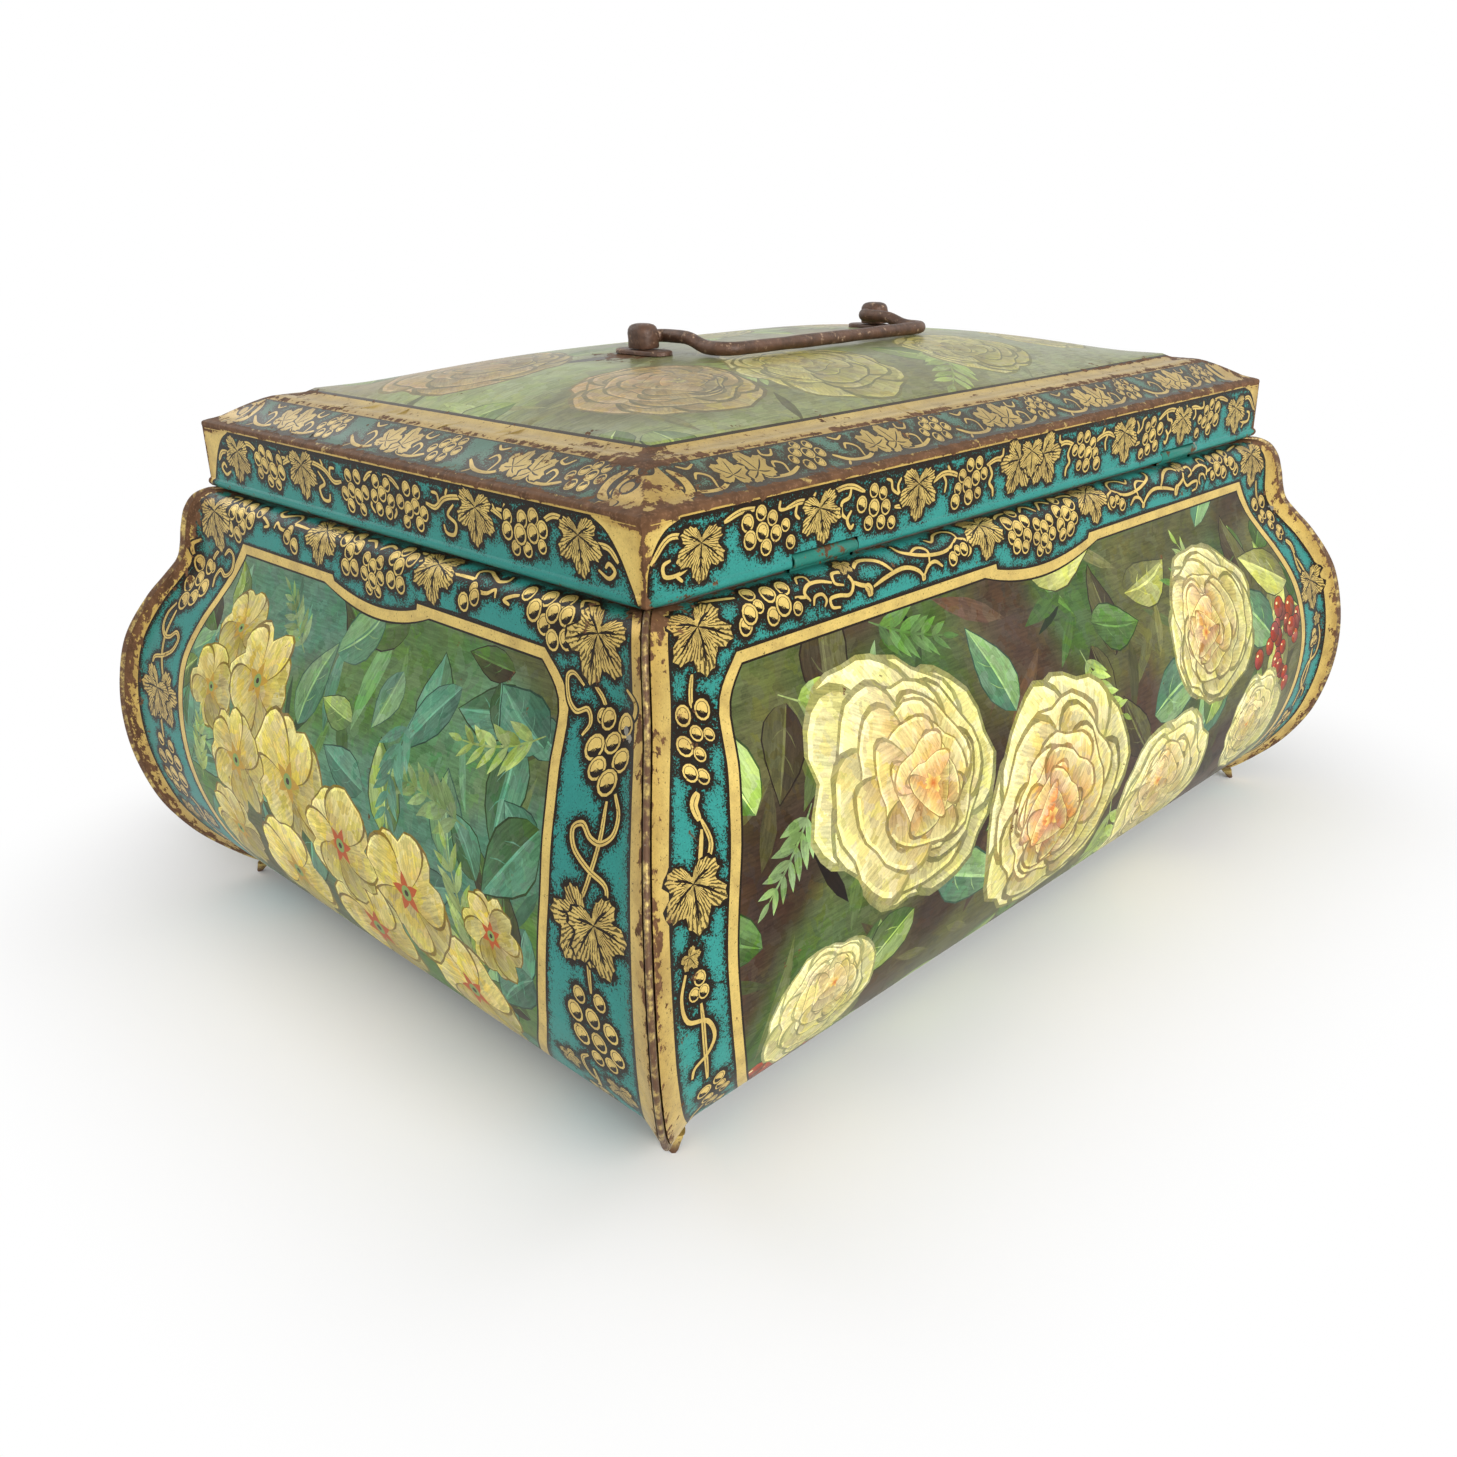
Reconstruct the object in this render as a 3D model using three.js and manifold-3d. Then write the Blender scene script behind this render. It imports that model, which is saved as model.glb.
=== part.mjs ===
// Bombé tin casket for papers and keepsakes, with a hinged domed lid and a bail handle.
// Millimetres, +Z up, +X along the long side, +Y towards the hinges.
// The origin is on the ground, under the middle of the box.

import * as THREE from 'three';
import { mergeVertices } from 'three/addons/utils/BufferGeometryUtils.js';
import Module from 'manifold-3d';

const wasm = await Module();
wasm.setup();

// Clearances
const gap = 0.3;
const overrun = 1;

// Tinplate and wire
const sheet = 0.4;
const knuckleSheet = 0.5;
const edgeWireRadius = 0.5;

// Body: its height to the shoulder, and how far the belly stands out past the lid
const bodyHeight = 100;
const bulge = 20.4;

// Corner seams: how far they stand out of the panels, and the toes that they end in
const seamThickness = 1;
const seamStandout = 2.4;
const seamTopStandout = 0.8;
const seamRampHeight = 14;
const seamLip = 0.5;
const flareWidth = 6;
const toeReach = 4;
const toeHeight = 3.1;
const toeWidth = 3.4;
const toeDepth = 3.2;
const toeTip = 1.4;

// Base plate, with a raised middle and a turned-up flange
const baseFlange = 4;
const basePanelInset = 14;
const basePanelSlope = 2;
const basePanelRise = 0.8;

// Collar inside the lid
const collarInset = 2.3;
const collarHeight = 10;
const collarSkirt = 2.5;
const hemWidth = 0.6;
const hemHeight = 2;

// Lid: outline, skirt and pressed top
const lidLength = 216;
const lidWidth = 153.5;
const lidLift = 1.1;
const skirtHeight = 15.2;
const rolledEdgeInset = 0.7;
const rimFlangeDepth = 4;
const borderWidth = 19;
const borderRise = 6.8;
const domeRise = 7.2;

// Hinges
const knuckleLength = 17;
const knuckleInset = 34;
const knuckleEndPlay = 0.4;

// Handle
const postSpacing = 80;
const lugLength = 5.5;
const lugWidth = 7;
const lugHeight = 5.2;
const lugBevel = 0.8;
const pivotHeight = 2.3;
const bailRadius = 1.5;
const bailArmGap = 1.15;
const bailReach = 21.5;
const bailCorner = 5;
const bailElbow = 2.4;
const bailLevelRun = 6.5;
const shankRadius = 1.3;
const rivetHeadRadius = 2.4;
const rivetHeadHeight = 0.8;
const footPlateWidth = 6;
const footPlateLength = 16;
const footPlateThickness = 0.6;
const washerRadius = 5;
const washerThickness = 0.6;

// Side of the body from shoulder to base: [share of the bulge, share of the body height]
const sideShares = [
  [0.03, 0.998],
  [0.142, 0.984],
  [0.206, 0.956],
  [0.225, 0.915],
  [0.235, 0.87],
  [0.289, 0.83],
  [0.426, 0.787],
  [0.593, 0.739],
  [0.833, 0.645],
  [0.951, 0.546],
  [1, 0.445],
  [0.975, 0.34],
  [0.858, 0.232],
  [0.74, 0.179],
  [0.554, 0.124],
  [0.235, 0.066],
  [0.123, 0.051],
];

// Lid's border from the rim to the dome: [share of the border's width, share of its rise]
const borderShares = [
  [0, 0],
  [0.08, 0.045],
  [0.174, 0.13],
  [0.284, 0.31],
  [0.42, 0.515],
  [0.58, 0.72],
  [0.684, 0.794],
  [0.805, 0.794],
  [0.91, 0.868],
  [1, 1],
];

// Where the columns of a panel's flared ends lie: shares of the flare's width
const flareShares = [0, 0.2, 0.45, 0.7, 1];

// The dome falls off towards its ends and its sides with these powers
const domeEndPower = 4;
const domeSidePower = 3;

// Mesh resolution
const sideSteps = 26;
const domeColumns = 10;
const domeRows = 8;
const rollSteps = 14;
const wireSides = 8;
const roundSides = 16;
const bailSteps = 84;

// Derived places
const halfLength = lidLength / 2;
const halfWidth = lidWidth / 2;
const lidBottom = bodyHeight + lidLift;
const rimHeight = lidBottom + skirtHeight;
const rollBore = edgeWireRadius + gap;
const rollRadius = rollBore + sheet;
const knuckleRadius = rollBore + knuckleSheet;
const hingeHeight = lidBottom + rollRadius;
const domeFoot = rimHeight + borderRise;
const knuckleMiddle = halfLength - knuckleInset - knuckleLength / 2;
const mergeTolerance = sheet / 1000;

// Colours of the materials
const colours = {
  print: 0x2a8d85,
  gold: 0xb8953f,
  tin: 0x9a9688,
  rust: 0x5a463a,
  dome: 0x8d9a7c,
};

function finish(colour, roughness, metalness) {
  return new THREE.MeshStandardMaterial({ color: colour, roughness, metalness, flatShading: true });
}

// Solids and meshes

function signedVolume(positions, indices) {
  const corners = [new THREE.Vector3(), new THREE.Vector3(), new THREE.Vector3()];
  let volume = 0;
  for (let first = 0; first < indices.length; first += 3) {
    corners.forEach((corner, k) => corner.fromArray(positions, indices[first + k] * 3));
    volume += corners[0].dot(corners[1].cross(corners[2])) / 6;
  }
  return volume;
}

// A closed mesh from points and triangles, turned so that its faces point out.
function closedMesh(points, indices) {
  const positions = points.flatMap((point) => point.toArray());
  if (signedVolume(positions, indices) < 0) indices.reverse();
  const geometry = new THREE.BufferGeometry();
  geometry.setAttribute('position', new THREE.Float32BufferAttribute(positions, 3));
  geometry.setIndex(indices);
  return geometry;
}

function solidOf(geometry) {
  const bare = geometry.clone();
  bare.deleteAttribute('normal');
  bare.deleteAttribute('uv');
  const merged = mergeVertices(bare, mergeTolerance);
  return new wasm.Manifold(new wasm.Mesh({
    numProp: 3,
    vertProperties: new Float32Array(merged.attributes.position.array),
    triVerts: new Uint32Array(merged.index.array),
  }));
}

function geometryOf(solid) {
  const { vertProperties, triVerts } = solid.getMesh();
  const geometry = new THREE.BufferGeometry();
  geometry.setAttribute('position', new THREE.BufferAttribute(vertProperties, 3));
  geometry.setIndex(new THREE.BufferAttribute(triVerts, 1));
  return geometry;
}

function cut(geometry, tools) {
  return geometryOf(tools.reduce((solid, tool) => solid.subtract(solidOf(tool)), solidOf(geometry)));
}

function join(geometries) {
  return geometryOf(geometries.map(solidOf).reduce((whole, solid) => whole.add(solid)));
}

// A sheet between two like grids of points: both faces and the edge that joins them.
function sheetSolid(outer, inner, leansForward) {
  const rows = outer.length;
  const columns = outer[0].length;
  const innerStart = rows * columns;
  const indices = [];
  const addFace = (a, b, c) => {
    indices.push(a, b, c);
    indices.push(innerStart + a, innerStart + c, innerStart + b);
  };
  for (let row = 0; row < rows - 1; row += 1) {
    for (let column = 0; column < columns - 1; column += 1) {
      const a = row * columns + column;
      const b = a + 1;
      const c = a + columns;
      const d = c + 1;
      if (leansForward(row, column)) {
        addFace(a, b, d);
        addFace(a, d, c);
      } else {
        addFace(a, b, c);
        addFace(b, d, c);
      }
    }
  }
  const edge = gridEdge(rows, columns);
  edge.forEach((from, k) => {
    const to = edge[(k + 1) % edge.length];
    indices.push(to, from, innerStart + from);
    indices.push(to, innerStart + from, innerStart + to);
  });
  return closedMesh([...outer.flat(), ...inner.flat()], indices);
}

// The indices of a grid's outermost points, in order round it.
function gridEdge(rows, columns) {
  const edge = [];
  const last = columns - 1;
  for (let column = 0; column < last; column += 1) edge.push(column);
  for (let row = 0; row < rows - 1; row += 1) edge.push(row * columns + last);
  for (let column = last; column > 0; column -= 1) edge.push((rows - 1) * columns + column);
  for (let row = rows - 1; row > 0; row -= 1) edge.push(row * columns);
  return edge;
}

// The four corners of a rectangle that lies u outside the lid's outline, at height z.
function rectangle(u, z) {
  const signs = [[1, 1], [-1, 1], [-1, -1], [1, -1]];
  return signs.map(([x, y]) => new THREE.Vector3(x * (halfLength + u), y * (halfWidth + u), z));
}

// A closed section of [u, z] points, carried round the box with mitred corners.
function carriedRound(section) {
  const points = section.flatMap(([u, z]) => rectangle(u, z));
  const indices = [];
  section.forEach((_, k) => {
    const next = (k + 1) % section.length;
    for (let corner = 0; corner < 4; corner += 1) {
      const beside = (corner + 1) % 4;
      const [a, b, c, d] = [k * 4 + corner, k * 4 + beside, next * 4 + corner, next * 4 + beside];
      indices.push(a, b, d, a, d, c);
    }
  });
  return closedMesh(points, indices);
}

// Rectangles [u, z] joined one to the next, with the first and the last one filled in.
function stackedRectangles(section) {
  const points = section.flatMap(([u, z]) => rectangle(u, z));
  const last = points.length - 4;
  const indices = [2, 1, 0, 3, 2, 0, last, last + 1, last + 2, last, last + 2, last + 3];
  for (let k = 0; k < last; k += 4) {
    for (let corner = 0; corner < 4; corner += 1) {
      const beside = (corner + 1) % 4;
      const [a, b, c, d] = [k + corner, k + beside, k + 4 + corner, k + 4 + beside];
      indices.push(a, b, d, a, d, c);
    }
  }
  return closedMesh(points, indices);
}

function shapeOf(points) {
  return new THREE.Shape(points.map(([x, y]) => new THREE.Vector2(x, y)));
}

// A shape drawn in (y, z), extruded along X from start.
function extrudedAlongX(shape, start, length, options = {}) {
  const geometry = new THREE.ExtrudeGeometry(shape, { depth: length, bevelEnabled: false, ...options });
  const axes = [new THREE.Vector3(0, 1, 0), new THREE.Vector3(0, 0, 1), new THREE.Vector3(1, 0, 0)];
  geometry.applyMatrix4(new THREE.Matrix4().makeBasis(...axes));
  geometry.translate(start, 0, 0);
  return geometry;
}

// A box between two opposite corners.
function blockBetween(low, high) {
  const size = high.map((value, k) => value - low[k]);
  const geometry = new THREE.BoxGeometry(...size);
  geometry.translate(...low.map((value, k) => value + size[k] / 2));
  return geometry;
}

// An upright round bar from one height to another.
function uprightBar(radius, x, bottom, top) {
  const geometry = new THREE.CylinderGeometry(radius, radius, top - bottom, roundSides);
  geometry.rotateX(Math.PI / 2);
  geometry.translate(x, 0, (top + bottom) / 2);
  return geometry;
}

function arcPoints(centre, radius, from, to, steps) {
  return Array.from({ length: steps + 1 }, (_, k) => {
    const angle = from + ((to - from) * k) / steps;
    return [centre[0] + radius * Math.cos(angle), centre[1] + radius * Math.sin(angle)];
  });
}

// Side of the body

// Points down the side as { u, z, out }, where out is the outward normal in the (u, z) plane.
function sideProfile() {
  const start = new THREE.Vector3(gap - collarInset, bodyHeight, 0);
  const rest = sideShares.map(([u, z]) => new THREE.Vector3(u * bulge, z * bodyHeight, 0));
  const curve = new THREE.CatmullRomCurve3([start, ...rest], false, 'centripetal');
  return Array.from({ length: sideSteps + 1 }, (_, k) => {
    const point = curve.getPoint(k / sideSteps);
    const along = curve.getTangent(k / sideSteps);
    return { u: point.x, z: point.y, out: new THREE.Vector2(-along.y, along.x) };
  });
}

const side = sideProfile();

function offset({ u, z, out }, distance) {
  return [u + out.x * distance, z + out.y * distance];
}

// How far the corner seams stand out at a height: little under the lid, more from the neck down.
function standoutAt(z) {
  const ramp = THREE.MathUtils.smoothstep(bodyHeight - z, 0, seamRampHeight);
  return THREE.MathUtils.lerp(seamTopStandout, seamStandout, ramp);
}

// One wall of the body, drawn towards +Y. Its ends flare out to meet the corner seams.
function panel(halfSpan, halfDepth) {
  const mitreGap = (seamThickness / 2 + gap) * Math.SQRT2;
  const ends = flareShares.map((share) => ({ inset: share * flareWidth, lift: (1 - share) ** 2 }));
  const face = (depth) => side.map((point) => {
    const flare = standoutAt(point.z) - seamLip;
    const half = ends.map(({ inset, lift }, k) => {
      const [u, z] = offset(point, lift * flare - depth);
      const mitre = k === 0 ? u : point.u;
      return [halfSpan + mitre - mitreGap - inset, halfDepth + u, z];
    });
    const right = half.map(([x, y, z]) => new THREE.Vector3(x, y, z));
    const left = half.map(([x, y, z]) => new THREE.Vector3(-x, y, z)).reverse();
    return [...right, ...left];
  });
  const middle = flareShares.length;
  return sheetSolid(face(0), face(sheet), (row, column) => column < middle);
}

// The back wall, with a notch in its top edge for each hinge leaf.
function backPanel() {
  const notchEdge = halfWidth - collarInset + gap + knuckleSheet + gap;
  const notches = [-1, 1].map((end) => {
    const middle = end * knuckleMiddle;
    const reach = knuckleLength / 2 + gap;
    return blockBetween(
      [middle - reach, halfWidth - collarInset - overrun, bodyHeight - sheet - overrun],
      [middle + reach, notchEdge, bodyHeight + overrun],
    );
  });
  return cut(panel(halfLength, halfWidth), notches);
}

// Corner seams

// Outline of a seam in the diagonal plane: [distance out along the diagonal, height].
function seamOutline() {
  const onDiagonal = ([u, z]) => [u * Math.SQRT2, z];
  const outer = side.map((point) => onDiagonal(offset(point, standoutAt(point.z))));
  const inner = side.map((point) => onDiagonal(offset(point, -sheet))).reverse();
  const tip = toeReach * Math.SQRT2;
  return [...outer, [tip + toeTip / 2, 0], [tip - toeTip / 2, 0], ...inner];
}

// The toe's blunt point, wider than the seam, standing on the ground.
function toe() {
  const [lastU, lastZ] = offset(side[side.length - 1], seamStandout);
  const root = lastU * Math.SQRT2 - toeDepth / 2;
  const tip = toeReach * Math.SQRT2;
  const top = Math.min(toeHeight, lastZ);
  const level = (centre, depth, width, z) => [[1, 1], [-1, 1], [-1, -1], [1, -1]].map(
    ([along, across]) => new THREE.Vector3(centre + (along * depth) / 2, z, (across * width) / 2),
  );
  const points = [...level(tip, toeTip, toeTip, 0), ...level(root, toeDepth, toeWidth, top)];
  const indices = [0, 1, 2, 0, 2, 3, 6, 5, 4, 7, 6, 4];
  for (let corner = 0; corner < 4; corner += 1) {
    const beside = (corner + 1) % 4;
    indices.push(corner, corner + 4, beside, beside, corner + 4, beside + 4);
  }
  return closedMesh(points, indices);
}

function cornerSeam(signX, signY) {
  const strip = new THREE.ExtrudeGeometry(shapeOf(seamOutline()), {
    depth: seamThickness,
    bevelEnabled: false,
  });
  strip.translate(0, 0, -seamThickness / 2);
  const geometry = join([strip, toe()]);
  const outward = new THREE.Vector3(signX, signY, 0).normalize();
  const up = new THREE.Vector3(0, 0, 1);
  const across = new THREE.Vector3().crossVectors(outward, up);
  geometry.applyMatrix4(new THREE.Matrix4().makeBasis(outward, up, across));
  geometry.translate(signX * halfLength, signY * halfWidth, 0);
  return geometry;
}

// Base and collar

// A tray whose flange lies against the inside of the walls' lower edge.
function basePlate() {
  const foot = side[side.length - 1];
  const [seatU, seatZ] = offset(foot, -sheet - gap);
  const up = new THREE.Vector2(-foot.out.y, foot.out.x);
  const floor = foot.z;
  const cornerAt = ([u, z], height) => u - ((z - height) / up.y) * up.x;
  const innerSeat = [seatU - foot.out.x * sheet, seatZ - foot.out.y * sheet];
  const outerCorner = cornerAt([seatU, seatZ], floor);
  const innerCorner = cornerAt(innerSeat, floor + sheet);
  return stackedRectangles([
    [-basePanelInset - basePanelSlope, floor + basePanelRise],
    [-basePanelInset, floor],
    [outerCorner, floor],
    [outerCorner + up.x * baseFlange, floor + up.y * baseFlange],
    [innerCorner + up.x * baseFlange, floor + sheet + up.y * baseFlange],
    [innerCorner, floor + sheet],
    [-basePanelInset, floor + sheet],
    [-basePanelInset - basePanelSlope, floor + basePanelRise + sheet],
  ]);
}

// The rim that the lid closes over, with a folded hem along its top.
function collar() {
  const top = bodyHeight + collarHeight;
  const bottom = bodyHeight - collarSkirt;
  const hem = collarInset + sheet + hemWidth;
  return carriedRound([
    [-collarInset, bottom],
    [-collarInset, top],
    [-hem, top],
    [-hem, top - hemHeight],
    [-collarInset - sheet, top - hemHeight],
    [-collarInset - sheet, bottom],
  ]);
}

// Lid

// The lid's side walls, whose lower edge is rolled round a wire.
function skirt() {
  const centre = [-rolledEdgeInset, hingeHeight];
  const top = rimHeight - sheet - gap;
  const outerStart = Math.acos(rolledEdgeInset / rollRadius);
  const innerStart = Math.acos((rolledEdgeInset - sheet) / rollBore);
  const rollEnd = outerStart - (Math.PI * 14) / 9;
  const wall = carriedRound([
    [0, top],
    ...arcPoints(centre, rollRadius, outerStart, rollEnd, rollSteps),
    ...arcPoints(centre, rollBore, rollEnd, innerStart, rollSteps),
    [-sheet, top],
  ]);
  return cut(wall, [-1, 1].map(knuckleSlot));
}

// The room that a hinge knuckle takes in the lid's rolled edge.
function knuckleSlot(end) {
  const middle = end * knuckleMiddle;
  const reach = knuckleLength / 2 + knuckleEndPlay;
  return blockBetween(
    [middle - reach, halfWidth - collarInset, lidBottom - overrun],
    [middle + reach, halfWidth + overrun, hingeHeight + knuckleRadius + gap],
  );
}

// The wire inside the rolled edge. The hinge knuckles turn on it.
function edgeWire() {
  const centre = [-rolledEdgeInset, hingeHeight];
  return carriedRound(arcPoints(centre, edgeWireRadius, 0, 2 * Math.PI, wireSides).slice(1));
}

// Height of the lid's border at a distance in from the rim.
function borderHeight(inset) {
  const share = inset / borderWidth;
  const next = Math.max(1, borderShares.findIndex(([across]) => across >= share - Number.EPSILON * 4));
  const [low, high] = [borderShares[next - 1], borderShares[next]];
  const part = (share - low[0]) / (high[0] - low[0]);
  return rimHeight + borderRise * THREE.MathUtils.lerp(low[1], high[1], part);
}

function domeHeight(x, y) {
  const endShare = Math.abs(x) / (halfLength - borderWidth);
  const sideShare = Math.abs(y) / (halfWidth - borderWidth);
  return domeFoot + domeRise * (1 - endShare ** domeEndPower) * (1 - sideShare ** domeSidePower);
}

function lidHeight(x, y) {
  const inset = Math.min(halfLength - Math.abs(x), halfWidth - Math.abs(y));
  return inset < borderWidth ? borderHeight(inset) : domeHeight(x, y);
}

// Grid lines across the lid: at each step of the border, then evenly over the dome.
function lidLines(half, domeSteps) {
  const border = borderShares.map(([share]) => share * borderWidth - half);
  const domeHalf = half - borderWidth;
  const dome = Array.from({ length: domeSteps - 1 }, (_, k) => domeHalf * ((2 * (k + 1)) / domeSteps - 1));
  return [...border, ...dome, ...border.map((place) => -place).reverse()];
}

// The pressed top: border, dome and the flange that sits inside the skirt.
function lidTop() {
  const xs = lidLines(halfLength, domeColumns);
  const ys = lidLines(halfWidth, domeRows);
  const face = (depth) => xs.map((x) => ys.map((y) => new THREE.Vector3(x, y, lidHeight(x, y) - depth)));
  const rising = (row, column) => (xs[row] + xs[row + 1]) * (ys[column] + ys[column + 1]) > 0;
  const pressing = sheetSolid(face(0), face(sheet), rising);
  const flangeTop = rimHeight - sheet / 2;
  const flangeInset = sheet + gap;
  const flange = carriedRound([
    [-flangeInset, flangeTop],
    [-flangeInset, rimHeight - sheet - rimFlangeDepth],
    [-flangeInset - sheet, rimHeight - sheet - rimFlangeDepth],
    [-flangeInset - sheet, flangeTop],
  ]);
  const holes = [-1, 1].map((end) => {
    const x = (end * postSpacing) / 2;
    const height = domeHeight(x, 0);
    return uprightBar(shankRadius + gap, x, height - sheet - overrun, height + overrun);
  });
  return cut(join([pressing, flange]), holes);
}

// Hinge leaf: a strap that rises between collar and wall and rolls round the edge wire.
function hingeLeaf(end) {
  const centre = [halfWidth - rolledEdgeInset, hingeHeight];
  const leafFoot = bodyHeight - collarSkirt;
  const leafSide = centre[0] - knuckleRadius;
  const rollEnd = (-Math.PI * 7) / 12;
  const outline = [
    [leafSide, leafFoot],
    ...arcPoints(centre, knuckleRadius, Math.PI, rollEnd, rollSteps),
    ...arcPoints(centre, rollBore, rollEnd, Math.PI, rollSteps),
    [leafSide + knuckleSheet, leafFoot],
  ];
  const start = end * knuckleMiddle - knuckleLength / 2;
  return extrudedAlongX(shapeOf(outline), start, knuckleLength);
}

// Handle

const postX = postSpacing / 2;
const footTop = domeHeight(postX - footPlateWidth / 2, 0) + gap + footPlateThickness;
const washerTop = domeHeight(postX + washerRadius, 0) - sheet - gap;
const lugBottom = footTop + gap;
const bailHeight = lugBottom + pivotHeight;
const bailDrop = bailHeight - domeHeight(0, bailReach) - gap - bailRadius;

// A round-topped lug with an eye for the bail, on a shank riveted over under the lid.
function post(end) {
  const round = lugWidth / 2;
  const outline = new THREE.Shape();
  outline.moveTo(-round, lugBottom);
  outline.lineTo(round, lugBottom);
  outline.lineTo(round, lugBottom + lugHeight - round);
  outline.absarc(0, lugBottom + lugHeight - round, round, 0, Math.PI, false);
  const bevel = {
    bevelEnabled: true,
    bevelThickness: lugBevel,
    bevelSize: lugBevel,
    bevelOffset: -lugBevel,
    bevelSegments: 2,
    curveSegments: 10,
  };
  const start = end * postX - lugLength / 2 + lugBevel;
  const lug = extrudedAlongX(outline, start, lugLength - 2 * lugBevel, bevel);
  const eye = new THREE.CylinderGeometry(bailRadius + gap, bailRadius + gap, lugLength + overrun, roundSides);
  eye.rotateZ(Math.PI / 2);
  eye.translate(end * postX, 0, bailHeight);
  const headTop = washerTop - washerThickness - gap;
  const shank = uprightBar(shankRadius, end * postX, headTop - rivetHeadHeight / 2, lugBottom + sheet);
  const head = uprightBar(rivetHeadRadius, end * postX, headTop - rivetHeadHeight, headTop);
  return cut(join([lug, shank, head]), [eye]);
}

// A flat plate with round ends, under the lug on the outside of the lid.
function footPlate(end) {
  const round = footPlateWidth / 2;
  const straight = footPlateLength / 2 - round;
  const outline = new THREE.Shape();
  outline.absarc(0, straight, round, 0, Math.PI, false);
  outline.absarc(0, -straight, round, Math.PI, 2 * Math.PI, false);
  outline.holes.push(new THREE.Path().absarc(0, 0, shankRadius + gap, 0, 2 * Math.PI, true));
  return flatPiece(outline, footPlateThickness, end * postX, footTop - footPlateThickness);
}

// The round washer under the lid that the shank is riveted over.
function washer(end) {
  const outline = new THREE.Shape().absarc(0, 0, washerRadius, 0, 2 * Math.PI, false);
  outline.holes.push(new THREE.Path().absarc(0, 0, shankRadius + gap, 0, 2 * Math.PI, true));
  return flatPiece(outline, washerThickness, end * postX, washerTop - washerThickness);
}

function flatPiece(outline, thickness, x, bottom) {
  const geometry = new THREE.ExtrudeGeometry(outline, {
    depth: thickness,
    bevelEnabled: false,
    curveSegments: roundSides / 2,
  });
  geometry.translate(x, 0, bottom);
  return geometry;
}

// The bail's centre line about its pivot: stub, elbow, arm that dips in an S, corner, grip.
function bailPath() {
  const arm = postX - lugLength / 2 - bailArmGap - bailRadius;
  const stub = postX + lugLength / 2;
  const low = -bailDrop;
  const bend = bailReach - bailCorner;
  const dip = (bailLevelRun + bend) / 2;
  const at = (x, y, z) => new THREE.Vector3(x, y, z);
  const mirrored = (point) => at(-point.x, point.y, point.z);
  const half = [
    [at(stub, 0, 0), at(arm + bailElbow, 0, 0)],
    [at(arm + bailElbow, 0, 0), at(arm, 0, 0), at(arm, bailElbow, 0)],
    [at(arm, bailElbow, 0), at(arm, bailLevelRun, 0)],
    [at(arm, bailLevelRun, 0), at(arm, dip, 0), at(arm, dip, low), at(arm, bend, low)],
    [at(arm, bend, low), at(arm, bailReach, low), at(arm - bailCorner, bailReach, low)],
  ];
  const otherHalf = half.map((points) => points.map(mirrored).reverse()).reverse();
  const grip = [at(arm - bailCorner, bailReach, low), at(bailCorner - arm, bailReach, low)];
  const kinds = { 2: THREE.LineCurve3, 3: THREE.QuadraticBezierCurve3, 4: THREE.CubicBezierCurve3 };
  const path = new THREE.CurvePath();
  [...half, grip, ...otherHalf].forEach((points) => path.add(new kinds[points.length](...points)));
  return path;
}

function bail() {
  const round = shapeOf(arcPoints([0, 0], bailRadius, 0, 2 * Math.PI, wireSides).slice(1));
  const geometry = new THREE.ExtrudeGeometry(round, { steps: bailSteps, extrudePath: bailPath() });
  geometry.translate(0, 0, bailHeight);
  return geometry;
}

// Assembly

function piece(name, geometry, material, turn = 0) {
  const bare = geometry.clone();
  bare.deleteAttribute('uv');
  bare.computeVertexNormals();
  const mesh = new THREE.Mesh(bare, material);
  mesh.name = name;
  mesh.rotation.z = turn;
  return mesh;
}

function buildBody() {
  const print = () => finish(colours.print, 0.35, 0.2);
  const group = new THREE.Group();
  group.add(piece('back_panel', backPanel(), print()));
  group.add(piece('front_panel', panel(halfLength, halfWidth), print(), Math.PI));
  group.add(piece('right_panel', panel(halfWidth, halfLength), print(), -Math.PI / 2));
  group.add(piece('left_panel', panel(halfWidth, halfLength), print(), Math.PI / 2));
  const corners = { back_right: [1, 1], back_left: [-1, 1], front_left: [-1, -1], front_right: [1, -1] };
  Object.entries(corners).forEach(([place, [x, y]]) => {
    group.add(piece(`corner_seam_${place}`, cornerSeam(x, y), finish(colours.gold, 0.45, 0.6)));
  });
  group.add(piece('base_plate', basePlate(), finish(colours.tin, 0.5, 0.7)));
  group.add(piece('collar', collar(), finish(colours.tin, 0.45, 0.7)));
  group.add(piece('hinge_leaf_right', hingeLeaf(1), finish(colours.print, 0.4, 0.3)));
  group.add(piece('hinge_leaf_left', hingeLeaf(-1), finish(colours.print, 0.4, 0.3)));
  return group;
}

function buildLid() {
  const group = new THREE.Group();
  group.add(piece('lid_top', lidTop(), finish(colours.dome, 0.35, 0.2)));
  group.add(piece('lid_skirt', skirt(), finish(colours.print, 0.35, 0.2)));
  group.add(piece('edge_wire', edgeWire(), finish(colours.rust, 0.6, 0.7)));
  const ends = { right: 1, left: -1 };
  Object.entries(ends).forEach(([place, end]) => {
    group.add(piece(`handle_post_${place}`, post(end), finish(colours.rust, 0.7, 0.5)));
    group.add(piece(`foot_plate_${place}`, footPlate(end), finish(colours.rust, 0.75, 0.4)));
    group.add(piece(`clinch_washer_${place}`, washer(end), finish(colours.tin, 0.5, 0.7)));
  });
  return group;
}

const casket = new THREE.Group();
casket.add(buildBody());
casket.add(buildLid());
casket.add(piece('bail_handle', bail(), finish(colours.rust, 0.7, 0.5)));

export default casket;
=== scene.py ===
"""Bombé tin casket, printed with a gold grapevine and framed flowers,
with a hinged lid and a bail handle."""

import math
from functools import partial
from itertools import chain
from types import SimpleNamespace

import bpy
import numpy as np
from mathutils import Matrix, Vector
from mathutils.geometry import delaunay_2d_cdt


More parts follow.
